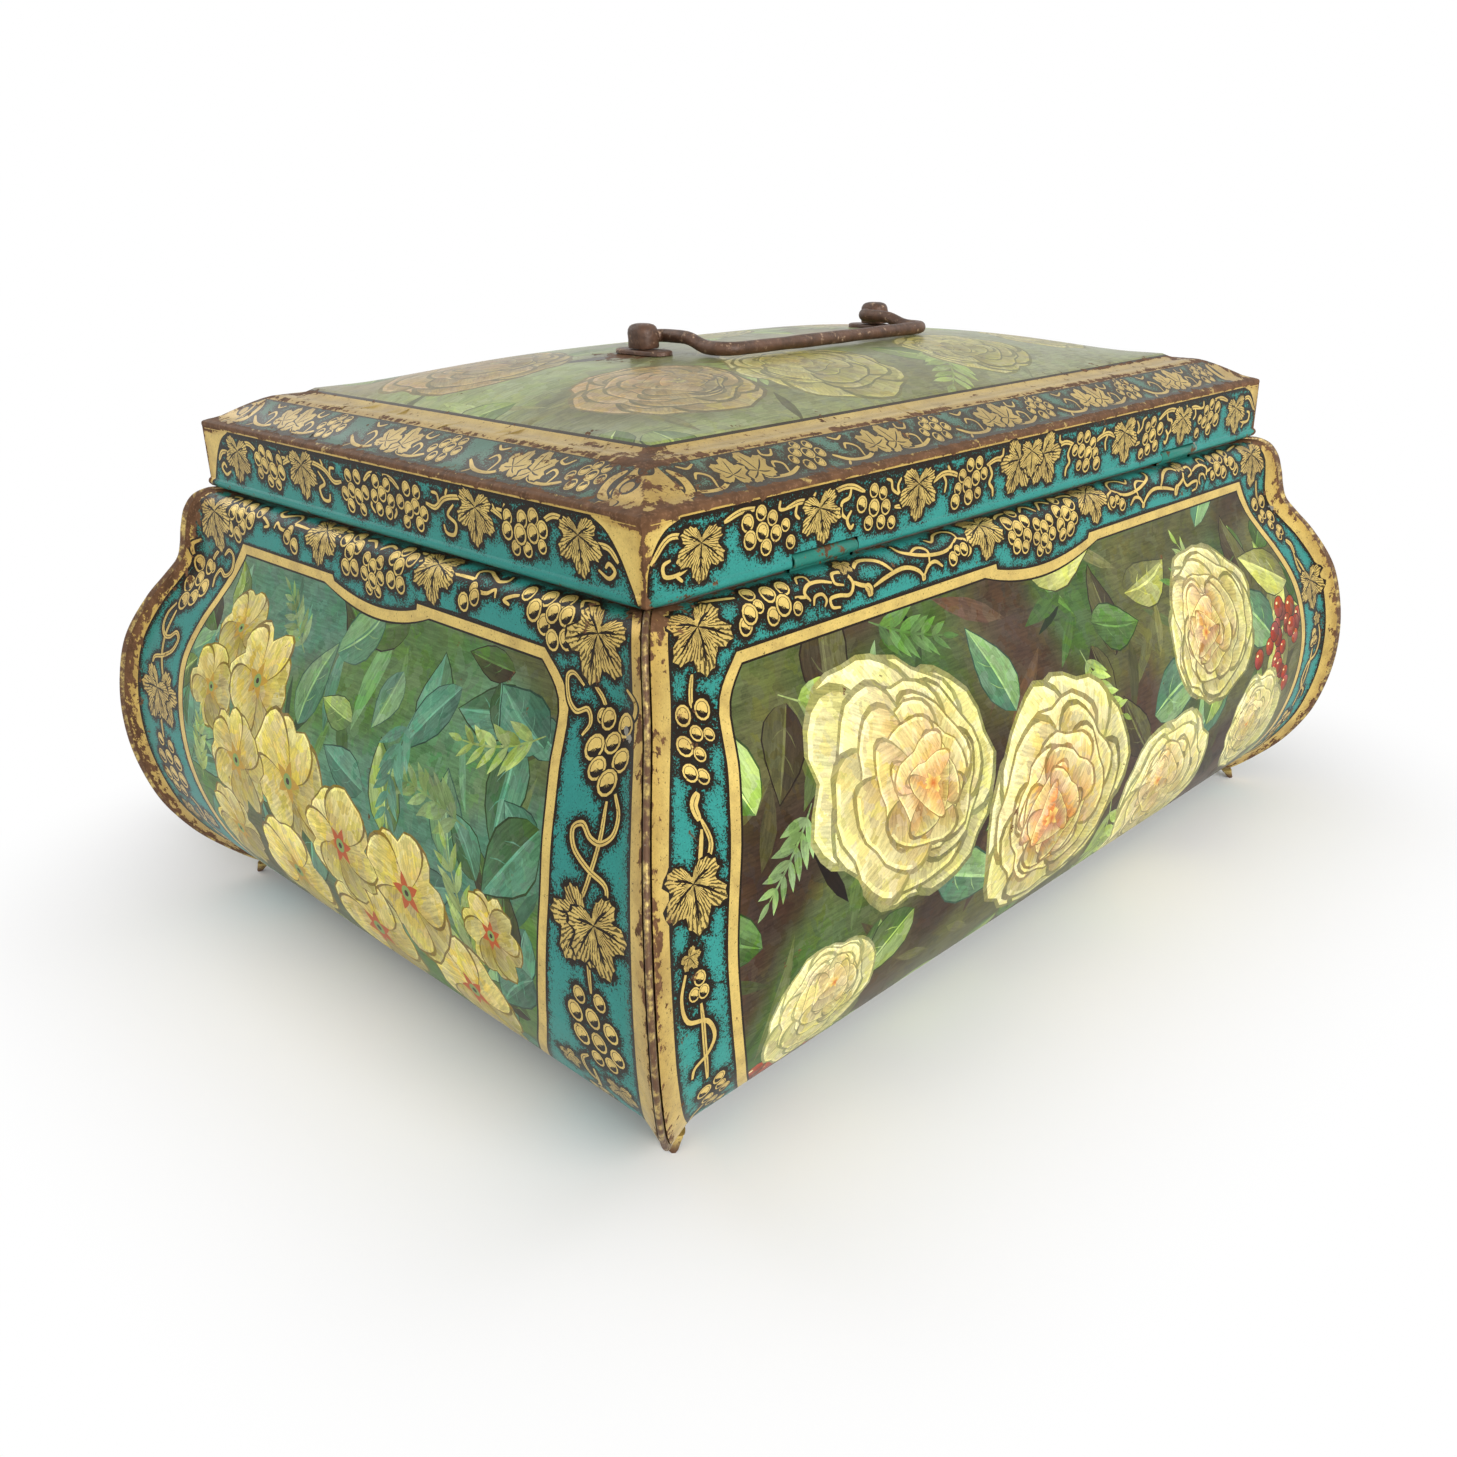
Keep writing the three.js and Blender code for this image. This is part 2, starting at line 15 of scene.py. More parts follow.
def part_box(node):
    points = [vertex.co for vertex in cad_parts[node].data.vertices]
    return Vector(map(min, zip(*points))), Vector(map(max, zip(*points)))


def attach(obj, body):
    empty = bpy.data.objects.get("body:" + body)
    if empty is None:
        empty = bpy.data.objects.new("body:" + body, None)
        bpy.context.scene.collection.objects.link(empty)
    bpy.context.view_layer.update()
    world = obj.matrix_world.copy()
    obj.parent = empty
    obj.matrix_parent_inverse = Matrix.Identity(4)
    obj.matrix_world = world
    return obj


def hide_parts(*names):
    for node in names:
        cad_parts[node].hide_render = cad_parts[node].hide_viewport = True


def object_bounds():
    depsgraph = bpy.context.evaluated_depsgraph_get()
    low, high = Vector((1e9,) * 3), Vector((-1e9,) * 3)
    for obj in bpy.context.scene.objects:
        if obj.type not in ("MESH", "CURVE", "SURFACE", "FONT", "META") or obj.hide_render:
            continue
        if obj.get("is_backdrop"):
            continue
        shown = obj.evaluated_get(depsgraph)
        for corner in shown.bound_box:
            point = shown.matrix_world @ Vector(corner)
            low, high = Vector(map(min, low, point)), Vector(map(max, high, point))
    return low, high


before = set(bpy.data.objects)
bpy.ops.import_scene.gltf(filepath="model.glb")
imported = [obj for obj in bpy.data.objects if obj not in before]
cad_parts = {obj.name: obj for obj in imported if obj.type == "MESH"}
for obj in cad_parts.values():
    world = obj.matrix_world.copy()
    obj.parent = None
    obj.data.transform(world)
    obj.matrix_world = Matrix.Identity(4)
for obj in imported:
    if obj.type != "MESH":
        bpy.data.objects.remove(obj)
CAD_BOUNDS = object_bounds()

bl_info = {
    "name": "Tin Casket",
    "version": (1, 0, 0),
    "blender": (4, 5, 0),
    "location": "View3D > Sidebar > Casket",
    "description": "Builds a printed tin casket round its packed CAD model",
    "category": "Add Mesh",
}

MM = 0.001


def extent(node):
    """The lowest and the highest corner of a CAD node, in millimetres."""
    return [np.array(corner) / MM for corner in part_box(node)]


WALL_HIGH = extent("back_panel")[1]
LID_HIGH = extent("lid_top")[1]
SKIRT_HIGH = extent("lid_skirt")[1]
POST_LOW = extent("handle_post_right")[0]
BAIL_LOW, BAIL_HIGH = extent("bail_handle")
KNUCKLE_LOW, KNUCKLE_HIGH = extent("hinge_leaf_right")
KNUCKLE_MIDDLE = (KNUCKLE_LOW[0] + KNUCKLE_HIGH[0]) / 2
KNUCKLE_HALF = (KNUCKLE_HIGH[0] - KNUCKLE_LOW[0]) / 2
BOX_MIDDLE = np.array([0, 0, WALL_HIGH[2] / 2])

# Clearance between neighbouring pieces, and how far under the rim the skirt's print starts, in millimetres
GAP = 0.3
SKIRT_TOP = 1

# Signs of the lid's corners, from the back right one round and back to it
CORNERS = np.array([(1, 1), (-1, 1), (-1, -1), (1, -1), (1, 1)])

# The photograph's camera: its place in millimetres, its angles in degrees, and its framing in pixels
EYE = (235.0, 227.9, 160.3)
EYE_HEADING = 223.33
EYE_FALL = 22.20
EYE_ROLL = 0.674
PHOTO_WIDTH = 1457
FOCAL_PIXELS = 1293.1
CENTRE_PIXELS = (792.26, 732.57)

# The lamps: name, place in metres, width in metres and power in watts. All point to one place.
LIT_PLACE = (0, 0, 0.06)
LAMPS = (
    ("key", (0.35, 1.3, 0.55), 0.9, 20.0),
    ("fill", (1.3, 0.1, 0.45), 0.8, 3.1),
    ("sheen", (-0.9, 0.5, 0.8), 0.7, 2.0),
    ("front", (0.3, -1.2, 0.9), 0.9, 4.5),
)

# Side of the body from shoulder to base: [share of the belly, share of the wall's height]
SIDE_SHARES = np.array([
    (0.03, 0.998), (0.142, 0.984), (0.206, 0.956), (0.225, 0.915), (0.235, 0.87), (0.289, 0.83),
    (0.426, 0.787), (0.593, 0.739), (0.833, 0.645), (0.951, 0.546), (1, 0.445), (0.975, 0.34),
    (0.858, 0.232), (0.74, 0.179), (0.554, 0.124), (0.235, 0.066), (0.123, 0.051),
])

# Lid's border from rim to dome: [share of its width, share of its rise]
BORDER_SHARES = np.array([
    (0, 0), (0.08, 0.045), (0.174, 0.13), (0.284, 0.31), (0.42, 0.515),
    (0.58, 0.72), (0.684, 0.794), (0.805, 0.794), (0.91, 0.868), (1, 1),
])

# Powers of the dome's fall towards its ends and its sides: the higher, the flatter its middle
DOME_END_POWER, DOME_SIDE_POWER = 4, 3

# Vine leaf: radius of the blade at angles away from its tip
LEAF_ANGLES = (0, 14, 30, 46, 58, 72, 87, 100, 113, 130, 150, 172)
LEAF_RADII = (1, 0.88, 0.6, 0.82, 0.9, 0.8, 0.5, 0.66, 0.7, 0.6, 0.42, 0.14)

# The vine on the long walls, one half: distance from the middle and distance down, in millimetres
LONG_VINE = SimpleNamespace(
    frame_side=[(96.7, 20), (100.5, 30), (105, 40), (108.7, 50), (110.8, 60), (110.5, 70), (108.6, 80),
                (105.2, 90), (99, 101)],
    frame_corner=92.3,
    frame_foot=104.5,
    swag=17.6,
    edge=[(0, 3.6), (20, 3.4), (50, 2.6), (75, 2.7), (109, 3.8)],
    leaves=[(100.4, 6.6, 96, 8.4), (20.4, 3.6, 84, 7.6), (116.4, 45.4, 86, 8.2), (119.8, 56.4, 120, 2.6),
            (62.5, 3.2, 60, 2.6)],
    bunches=[
        [(87, 3.6, 1.6), (90.2, 9, 1.7), (83, 4.7, 1.8), (79.2, 4.4, 1.6), (86.3, 6.4, 1.3),
         (83.5, 8.8, 1.7),
         (88.7, 7.2, 1.9), (77.4, 8.8, 1.3), (80.6, 7.5, 2)],
        [(32.5, 8.8, 1.5), (30.7, 7.4, 1.1), (28.6, 7.6, 1.4)],
        [(8.2, 2.8, 1.5), (12, 5, 1.8), (6.2, 5.8, 1.7), (9.3, 6.8, 1.8), (12, 8.4, 1.5), (6.4, 9, 1.7),
         (7.2, 11.2, 1.5), (10.3, 10.5, 1.7)],
        [(106.1, 20.1, 1.8), (101.9, 20.2, 1.8), (102.4, 24.4, 1.2), (104.7, 23.5, 1.4), (108, 24.8, 1.8),
         (105.9, 26.9, 1.3), (107.3, 30.4, 1.4), (109.3, 29.1, 1.6)],
        [(118.2, 60.8, 1.4), (119.6, 63.2, 1.3), (117.6, 63.5, 1.3)],
        [(111.3, 87.4, 1.3), (112.4, 84.8, 1.5), (109.6, 89.5, 1.3), (113.4, 90, 1.4), (115.4, 86.5, 1.7),
         (111.4, 92.6, 1.5), (108.4, 95, 1.3)],
    ],
    stems=[
        (0.9, [(103, 14), (103.6, 17), (104, 19.4)]), (0.9, [(111, 36.5), (110.8, 40.6), (113.4, 43.8)]),
        (0.8, [(111.6, 38), (114.6, 43.6)]), (0.9, [(118.3, 65.4), (117.4, 74), (115.6, 82.8)]),
        (0.8,
         [(120.8, 58.4), (122.4, 63), (121.2, 67.6), (117, 69.4), (115.2, 73.6), (116.6, 76.6),
          (119.2, 78.4), (119.4, 80.6)]),
        (1.5, [(109.6, 32.4), (111.3, 34), (111.4, 36.6)]),
        (0.7, [(113.6, 91.6), (114.6, 96), (111.6, 101), (108.4, 99.4)]),
    ],
    tendrils=[
        (0.6, [(77.6, 6.8), (74.6, 7.4)]), (0.5, [(75.6, 4.6), (74.8, 3.3), (73, 3.5), (72.6, 5.2)]),
        (0.7, [(74, 8.2), (75, 6.6), (73.6, 5.4), (70.6, 5.3), (67.6, 6.2)]),
        (0.6, [(73.4, 9.2), (72.8, 7.8), (70.8, 7.7), (70, 9), (70.6, 10)]),
        (0.7,
         [(64.8, 7.3), (67, 6.4), (66.6, 4.7), (64, 5), (62.4, 7.4), (63.6, 9.2), (66.6, 8.8), (69, 9),
          (68.6, 10.5), (66.4, 11)]),
        (0.8, [(62.4, 7.2), (60.4, 8.2), (58.2, 8.8)]), (1.7, [(59.2, 8.6), (58.2, 9.4), (58, 10.8)]),
        (0.8, [(61.6, 5.4), (58.6, 3.6), (54.4, 4.6), (51, 7.4)]),
        (0.8, [(57, 9.2), (53, 8.2), (47.4, 7.6), (43.8, 8.8), (42, 10.4)]),
        (1.2, [(42.2, 9.8), (42, 11.2)]), (0.7, [(42, 10.2), (40.4, 8.6), (38.2, 8.2), (36, 9.6)]),
        (0.7, [(47.6, 2.2), (47.2, 4), (44.6, 5.4), (38.6, 6.8), (33.4, 6.7), (29.6, 4.9)]),
        (0.6, [(44.6, 5.2), (41.8, 4.5), (39.6, 5.8), (40, 8.2)]),
        (0.6, [(38.4, 3.2), (37, 4.2), (34.6, 2.6), (31.8, 2.2), (29.8, 3.4), (29.4, 5)]),
        (0.6, [(29.6, 5), (26.8, 6.2), (26.6, 8.4), (28.4, 9.4)]),
        (0.6, [(97, 2.2), (93.8, 2.8), (90, 3.6)]),
        (0.7, [(14.6, 3.2), (12.4, 2.2), (10, 2.2)]), (0.7, [(5.6, 3.4), (3, 1.8), (0.6, 4.4)]),
    ],
)

# The same on the short walls
SHORT_VINE = SimpleNamespace(
    frame_side=[(60.4, 20), (64.4, 30), (67.9, 40), (69.6, 50), (69.4, 60), (68, 70), (65, 80),
                (59.6, 90), (52, 101)],
    frame_corner=54.8,
    frame_foot=104.5,
    swag=15.4,
    edge=[(0, 2.2), (20, 1.7), (40, 2.4), (60, 3), (80, 3.6), (109, 3.8)],
    leaves=[(69, 7.4, 104, 9.2), (20.6, 4, 84, 7.8), (79.6, 53.2, 118, 8.8), (82.6, 53, 62, 9),
            (70.4, 84.4, 70, 3.4), (83.6, 86, 90, 4.6)],
    bunches=[
        [(48.6, 4.2, 1.7), (54, 4, 1.9), (58.4, 3.4, 1.9), (55, 8.8, 1.9), (51.8, 6.9, 2.1),
         (63, 8.2, 1.4),
         (56.8, 6.4, 1.9), (57.4, 11, 1.9), (60.4, 6.2, 2), (61, 10.2, 1.9)],
        [(33.8, 6.4, 1.2), (31.4, 9.4, 1.8), (34.6, 8, 1.6)],
        [(8.8, 3, 1.7), (6.6, 5.4, 1.7), (12.2, 4.6, 1.8), (9.2, 6.8, 1.9), (6.8, 9.8, 1.8),
         (10.2, 10.2, 1.8)],
        [(71, 20.8, 1.3), (72.7, 20.9, 1.9), (77.2, 20.9, 2.1), (75.4, 24.3, 1.9), (71.9, 26, 2.3),
         (78.8, 26.4, 2.1), (74.4, 29, 2.1), (77.9, 30.5, 2.3)],
        [(78.7, 67, 1.7), (84, 66.4, 1.7), (86, 71.5, 2), (77, 71, 2.1), (81.6, 70.6, 2),
         (86.4, 76.6, 1.9), (77.4, 75.8, 2.2),
         (82.1, 75.4, 2.1), (80.3, 79.8, 1.7), (84, 79.4, 1.7)],
        [(72.6, 93, 1.6), (76, 92.4, 1.7), (73.6, 96, 1.6), (76.8, 96.2, 1.5)],
    ],
    stems=[
        (0.9, [(68.4, 16.4), (70.4, 17.8), (71.8, 19.6)]),
        (0.9, [(79.4, 33.2), (80.8, 39.6), (80.2, 46), (78.4, 51.6)]),
        (1,
         [(80.6, 31.6), (83, 34.6), (83.2, 37.8), (81, 39.8), (78.4, 39.6), (75.8, 38), (74, 39.2),
          (75.2, 42), (79.6, 44.4), (84.4, 45.8), (85, 47.4), (83.4, 52)]),
        (0.9, [(81.2, 54), (81.6, 60), (82, 65.4)]),
    ],
    tendrils=[
        (0.9,
         [(65.6, 17), (62.8, 15.4), (61.2, 16.4), (62, 20), (64.6, 21.6), (67.2, 20.6), (68.8, 22.6),
          (68, 25)]),
        (0.8, [(76.6, 15), (79, 16.4), (79, 19), (78, 20.2)]),
        (0.7, [(45, 7.4), (43.2, 6.8), (45, 5.8), (47, 5.2)]),
        (0.7, [(26, 5), (30, 4.8), (33.6, 5), (35.4, 6.6), (38, 6.6), (40, 5.6), (40.6, 7)]),
        (0.7, [(33.2, 4.8), (32.6, 3), (34.6, 2), (37.2, 3), (39.6, 3.8), (41.4, 3), (41, 1.6)]),
        (0.7, [(14.6, 4.6), (17, 3.2), (13.6, 2.4), (11.4, 3)]), (0.7, [(5.4, 3.4), (3, 3), (0.8, 4.6)]),
        (0.9, [(77.4, 80.6), (75, 82.6), (75.2, 86.6), (76.8, 87.4), (77.4, 84)]),
        (0.7, [(63, 4.4), (61.6, 2.4), (64.4, 2), (66.6, 4)]),
        (0.8, [(77.2, 87), (76.2, 89.4), (74.6, 91.2)]),
    ],
)

# The vine on the lid's skirt, one half: distance from the middle and distance down from the rim
LONG_SKIRT_VINE = SimpleNamespace(
    spandrel=[(100, 1.7), (103.2, 3), (105.8, 5.8), (107.2, 9.2), (107.7, 12.6)],
    leaves=[(95.6, 6.4, 84, 6.6), (66.8, 5.6, 98, 6.4), (38.6, 5.6, 84, 7), (4.6, 5.8, 62, 7.4)],
    bunches=[
        [(81.7, 3.9, 1.4), (85, 5.1, 1.6), (79, 5.2, 1.4), (84.5, 8.1, 1.7), (75.8, 7, 1.2),
         (78.2, 8, 1.5), (81.5, 7.2, 1.7), (80.7, 10, 1.5), (74.6, 10.2, 1.3)],
        [(52, 4.8, 1.4), (55.5, 6.8, 1.6), (49.4, 5.7, 1.3), (48.6, 8.4, 1.5), (52, 8, 1.7),
         (53.6, 10.6, 1.4), (50, 11, 1.4), (46.9, 11.6, 1.3)],
        [(22, 4.4, 1.4), (19, 4.4, 1.4), (24.6, 6.2, 1.4), (26, 8.6, 1.3), (17.2, 6.8, 1.3),
         (22.9, 8.3, 1.7), (20, 7.3, 1.6), (26.8, 11, 1.6), (22.3, 10.8, 1.6), (19.2, 10.4, 1.2)],
    ],
    stems=[
        (1, [(98.6, 4.8), (102.6, 4.4), (106.6, 8)]), (1, [(90.4, 4), (86.6, 2.9), (82.4, 3)]),
        (1, [(75.6, 4.2), (72, 3.6), (69.2, 4.2), (66.6, 5.4)]),
        (1, [(66.2, 5.2), (62.4, 3.2), (58.4, 3), (54.6, 4.6)]), (0.9, [(46, 8.8), (43, 9), (40.4, 8)]),
        (1, [(34.4, 6), (31, 4.8), (27.8, 5.2), (25.4, 6.2)]),
        (1, [(16.6, 5.4), (13, 4.5), (10.4, 5), (7, 6.4)]),
    ],
    tendrils=[
        (0.7, [(98, 9.4), (100.6, 10.6), (103.8, 10.4), (104, 8.6), (102.4, 8)]),
        (0.6, [(101.4, 10.8), (100, 12)]),
        (0.6, [(77, 2.6), (77.2, 4), (75.4, 4.3)]), (0.6, [(72.8, 3.9), (73.2, 5.6), (72.2, 6.6)]),
        (0.6, [(68, 2.6), (68.8, 3.8), (66.8, 4.9)]),
        (0.7, [(58.4, 3.2), (59, 4.9), (61, 5.6), (61, 7.6), (59.6, 8.8)]),
        (0.7, [(58.4, 7.4), (59.6, 9), (58.6, 10.6), (57.8, 10)]),
        (0.6, [(48.4, 3.2), (47, 3.8), (46.6, 5.4), (44, 7)]),
        (0.6, [(44, 3.6), (45, 5), (44.4, 6.6), (42.6, 7)]),
        (0.6, [(31, 5), (30, 6.6), (30.4, 8.6)]), (0.6, [(29.6, 3.4), (28.6, 4.6)]),
        (0.7, [(15.6, 5.2), (14.4, 7.4), (15.2, 9), (14, 10.4), (13.8, 12)]),
        (0.6, [(10.6, 2.6), (10.8, 4), (12, 4.4)]),
    ],
)
SHORT_SKIRT_VINE = SimpleNamespace(
    spandrel=[(64.4, 1.7), (67.8, 3.4), (71, 7), (73.4, 11.4), (75, 14.6)],
    leaves=[(60.6, 5.4, 84, 7), (31.4, 5, 94, 7)],
    bunches=[
        [(48.6, 4.2, 1.6), (45.4, 5, 1.6), (41.2, 5.2, 1.4), (51, 6, 1.6), (50.6, 9, 1.3),
         (40.8, 7.7, 1.7), (48.2, 7.1, 1.8), (46.4, 10.2, 1.4), (43, 10.4, 1.4), (44.5, 7.8, 1.9)],
        [(9, 4.6, 1.5), (12.4, 4.8, 1.4), (6.4, 7.4, 1.5), (11.6, 7.6, 1.6), (14.4, 8.6, 1.5),
         (9.2, 8.6, 1.7), (12.6, 10.8, 1.5), (8, 11, 1.3)],
    ],
    stems=[
        (1, [(64.6, 6.2), (68.4, 6.4), (70.6, 8.4)]), (1, [(57, 3.2), (54, 3.2), (50.8, 4.8)]),
        (1, [(40, 5.8), (37, 4.6), (33.4, 4), (31.4, 5)]),
        (1, [(31, 4), (26, 3.9), (21.6, 4.8), (18.4, 6.8), (15.4, 6.4)]),
        (0.9, [(6.4, 5), (4, 3.4), (1, 3)]),
    ],
    tendrils=[
        (0.7, [(65.4, 10.4), (68, 11.4), (69.6, 10), (68.2, 8.9), (67.2, 9.8)]),
        (0.6, [(40.6, 3), (40, 4.2), (38, 4.2)]), (0.6, [(36.8, 3.6), (37.6, 4.8)]),
        (0.7, [(24.6, 5.4), (22.4, 7.6), (24.8, 9), (24, 11), (21.4, 11), (20.8, 9.6)]),
        (0.6, [(23, 2.8), (22.2, 4)]), (0.6, [(17.6, 4), (19.4, 4.2), (19.8, 6)]),
        (0.6, [(3.6, 8), (4.6, 9.6), (3.4, 11)]),
    ],
)

# The vine on the lid's border repeats between the corner scrolls: distance along one repeat and distance in
BORDER_VINE = SimpleNamespace(
    repeat=36.0,
    leaves=[(17.6, 5.2, 80, 5.2), (23.4, 5.4, 104, 4.4)],
    bunches=[[(2.6, 4.4, 1.2), (5.6, 4.2, 1.3), (0.4, 6.4, 1.2), (7.8, 6, 1.1), (3.2, 6.8, 1.4),
              (5.8, 7.6, 1.3), (1.4, 8.8, 1.1), (4.2, 9.2, 1.1)]],
    stems=[(0.8, [(8.2, 4.4), (12, 3.1), (16.6, 3.6), (17.6, 5)]),
           (0.8, [(24.4, 5), (28, 3.2), (32.6, 3.4), (36, 5.2)])],
    tendrils=[
        (0.5, [(11.4, 3.4), (11, 5.6), (12.8, 6.4), (13.6, 5)]),
        (0.5, [(10.2, 9.4), (11.6, 8), (13.4, 8.6), (13, 9.8)]),
        (0.5, [(28.6, 3.6), (28.2, 6), (30.2, 7.2), (31.4, 6)]),
        (0.5, [(29, 9.4), (31, 8.6), (32.6, 9.6)]), (0.5, [(33.4, 3.2), (34.6, 2)]),
    ],
)


def linear(code):
    """A colour written as sRGB hex, as linear red, green and blue."""
    shares = np.array([int(code[k:k + 2], 16) for k in (0, 2, 4)]) / 255
    return tuple(np.where(shares <= 0.04045, shares / 12.92, ((shares + 0.055) / 1.055) ** 2.4))


def length(name, millimetres, description):
    """A length property, given in millimetres and kept in metres."""
    metres = float(millimetres) * MM
    return bpy.props.FloatProperty(
        name=name, description=description, default=metres, min=0, unit="LENGTH", precision=4,
    )


def colour(name, code, description):
    """A colour property, given as sRGB hex."""
    return bpy.props.FloatVectorProperty(
        name=name, default=linear(code), size=3, min=0, max=1, subtype="COLOR", description=description,
    )


class CasketSizes(bpy.types.PropertyGroup):
    """Sizes of the casket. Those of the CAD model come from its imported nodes."""

    lid_length: length("Lid length", 2 * LID_HIGH[0], "Length of the lid along the hinges")
    lid_width: length("Lid width", 2 * LID_HIGH[1], "Width of the lid from front to back")
    rim_height: length("Rim height", SKIRT_HIGH[2] + 0.7, "Height of the fold between the skirt and the top")
    wall_height: length("Wall height", WALL_HIGH[2], "Height of the body's shoulder above the ground")
    belly: length("Belly", 20.4, "How far the belly stands out past the lid's outline")
    sheet: length("Tinplate", 0.4, "Thickness of the tinplate")
    collar_inset: length("Collar inset", 2.3, "Distance from the lid's outline to the collar")
    seam_thickness: length("Seam thickness", 1, "Thickness of a folded corner seam")
    seam_standout: length("Seam standout", 2.4, "How far a corner seam stands out of the walls")
    seam_top_standout: length("Seam standout at the top", 0.8, "How far it stands out under the lid")
    seam_ramp: length("Seam ramp", 14, "Height over which the seam comes out to its full standout")
    seam_lip: length("Seam lip", 0.5, "How far the seam stands past the walls' flared ends")
    flare_width: length("Flare width", 6, "Width of the flared end of a wall")
    toe_reach: length("Toe reach", 4, "Distance of a toe's tip from the lid's corner, along each side")
    toe_height: length("Toe height", 3.1, "Height of a toe")
    toe_width: length("Toe width", 4.4, "Width of a toe where it leaves the seam")
    toe_tip: length("Toe tip", 1.4, "Width of a toe's blunt tip")
    border_width: length("Border width", 19, "Width of the lid's moulded border")
    border_rise: length("Border rise", 6.8, "Rise of the border from the rim to the dome's foot")
    dome_rise: length("Dome rise", 7.2, "Rise of the dome above its foot")
    roll_radius: length("Rolled edge", 1.2, "Radius of the skirt's rolled lower edge")
    roll_inset: length("Rolled edge inset", 0.7, "Distance of the roll's middle from the lid's outline")
    roll_height: length("Roll height", SKIRT_HIGH[2] - 13.3, "Height of the roll's middle above the ground")
    frame_line: length("Frame line", 2.1, "Width of the gold line round a picture")
    ink_line: length("Ink line", 0.45, "Width of the dark line along gold edges")
    print_mesh: length("Print mesh", 1.4, "Spacing of the mesh between the printed shapes")


class CasketColours(bpy.types.PropertyGroup):
    """Colours of the casket's print, metal and surroundings."""

    teal: colour("Teal", "2F8179", "Ground of the vine borders")
    gold: colour("Gold", "D0B568", "Gold ink")
    ink: colour("Dark ink", "1C130A", "Outlines and hatching")
    rust: colour("Rust", "60432C", "Rust where the print is rubbed through")
    olive: colour("Olive", "5A5A34", "Ground of the long walls' pictures")
    umber: colour("Umber", "33241A", "Shadows of the long walls' pictures")
    russet: colour("Russet", "7A2E16", "Fruit and fallen leaves in the pictures")
    green: colour("Leaf green", "56783A", "Painted leaves")
    lime: colour("Light leaf", "A6BC68", "Lit painted leaves")
    sea: colour("Blue green", "5A8A6E", "Ground of the short walls' pictures")
    cream: colour("Cream", "E0D798", "Lit petals of the large blooms")
    peach: colour("Peach", "E0AE74", "Inner petals of the large blooms")
    ember: colour("Ember", "B4521E", "Hearts of the large blooms")
    yellow: colour("Yellow", "E0D070", "Petals of the small blooms")
    honey: colour("Honey", "B08A2C", "Shaded petals of the small blooms")
    sage: colour("Sage", "8E9470", "Ground of the lid's picture")
    iron: colour("Iron", "553B2B", "Rusted iron of the handle")
    tin: colour("Tin", "8E8A7E", "Bare tinplate")
    floor: colour("Floor", "F4F4F4", "Floor under the casket")


def sizes_of(scene):
    """The sizes in millimetres."""
    keys = CasketSizes.__annotations__
    return SimpleNamespace(**{key: getattr(scene.casket_sizes, key) / MM for key in keys})


def colours_of(scene):
    """The colours as arrays of linear red, green and blue."""
    keys = CasketColours.__annotations__
    return SimpleNamespace(**{key: np.array(getattr(scene.casket_colours, key)) for key in keys})


# Curves and outlines

def smooth_curve(knots, steps):
    """A centripetal Catmull-Rom curve through the knots: each span blends the straight lines between
    four neighbouring knots, spaced by the square root of their distances."""
    knots = np.asarray(knots, float)
    ends = np.vstack([2 * knots[0] - knots[1], knots, 2 * knots[-1] - knots[-2]])
    times = np.concatenate([[0], np.cumsum(np.linalg.norm(np.diff(ends, axis=0), axis=1) ** 0.5)])
    points = [ends[k:len(ends) - 3 + k, None] for k in range(4)]
    times = [times[k:len(times) - 3 + k, None, None] for k in range(4)]
    t = times[1] + (times[2] - times[1]) * np.linspace(0, 1, steps, endpoint=False)[None, :, None]
    for spans in (((0, 1), (1, 2), (2, 3)), ((0, 2), (1, 3)), ((1, 2),)):
        points = [
            ((times[j] - t) * points[k] + (t - times[i]) * points[k + 1]) / (times[j] - times[i])
            for k, (i, j) in enumerate(spans)
        ]
    return np.vstack([points[0].reshape(-1, knots.shape[1]), knots[-1:]])


def smoothstep(share):
    """Rises from 0 to 1 with level ends."""
    share = np.clip(share, 0, 1)
    return share * share * (3 - 2 * share)


def distances(points):
    """Distance along a polyline at each of its points."""
    return np.concatenate([[0], np.cumsum(np.linalg.norm(np.diff(points, axis=0), axis=1))])


def unit(vectors):
    """Vectors in rows, each brought to length 1."""
    return vectors / np.maximum(np.linalg.norm(vectors, axis=1), 1e-12)[:, None]


def heading(turn):
    """The unit vector at an angle in radians."""
    return np.array([math.cos(turn), math.sin(turn)])


def around(angle):
    """Points of the unit circle at an array of angles."""
    return np.column_stack([np.cos(angle), np.sin(angle)])


def circle(count):
    """So many points round the unit circle."""
    return around(np.linspace(0, 2 * math.pi, count, endpoint=False))


def squared(circle_points, power):
    """A unit circle squared off: each coordinate is raised to a power below 1 and keeps its sign."""
    return np.sign(circle_points) * np.abs(circle_points) ** power


def resampled(points, spacing):
    """Points along a polyline, no further apart than the spacing, its own corners kept."""
    points = np.asarray(points, float)
    pieces = []
    for start, end in zip(points[:-1], points[1:]):
        count = max(1, math.ceil(np.linalg.norm(end - start) / spacing))
        pieces.append(start + (end - start) * np.arange(count)[:, None] / count)
    return np.vstack([*pieces, points[-1:]])


def beside(path, offset):
    """The path moved sideways: each point goes along the mitre of its two neighbours' normals."""
    steps = unit(np.diff(path, axis=0))
    sides = np.column_stack([steps[:, 1], -steps[:, 0]])
    before, after = np.vstack([sides[:1], sides]), np.vstack([sides, sides[-1:]])
    mitre = before + after
    mitre /= np.maximum((mitre * after).sum(axis=1), 0.6)[:, None]
    return path + mitre * np.asarray(offset, float).reshape(-1, 1)


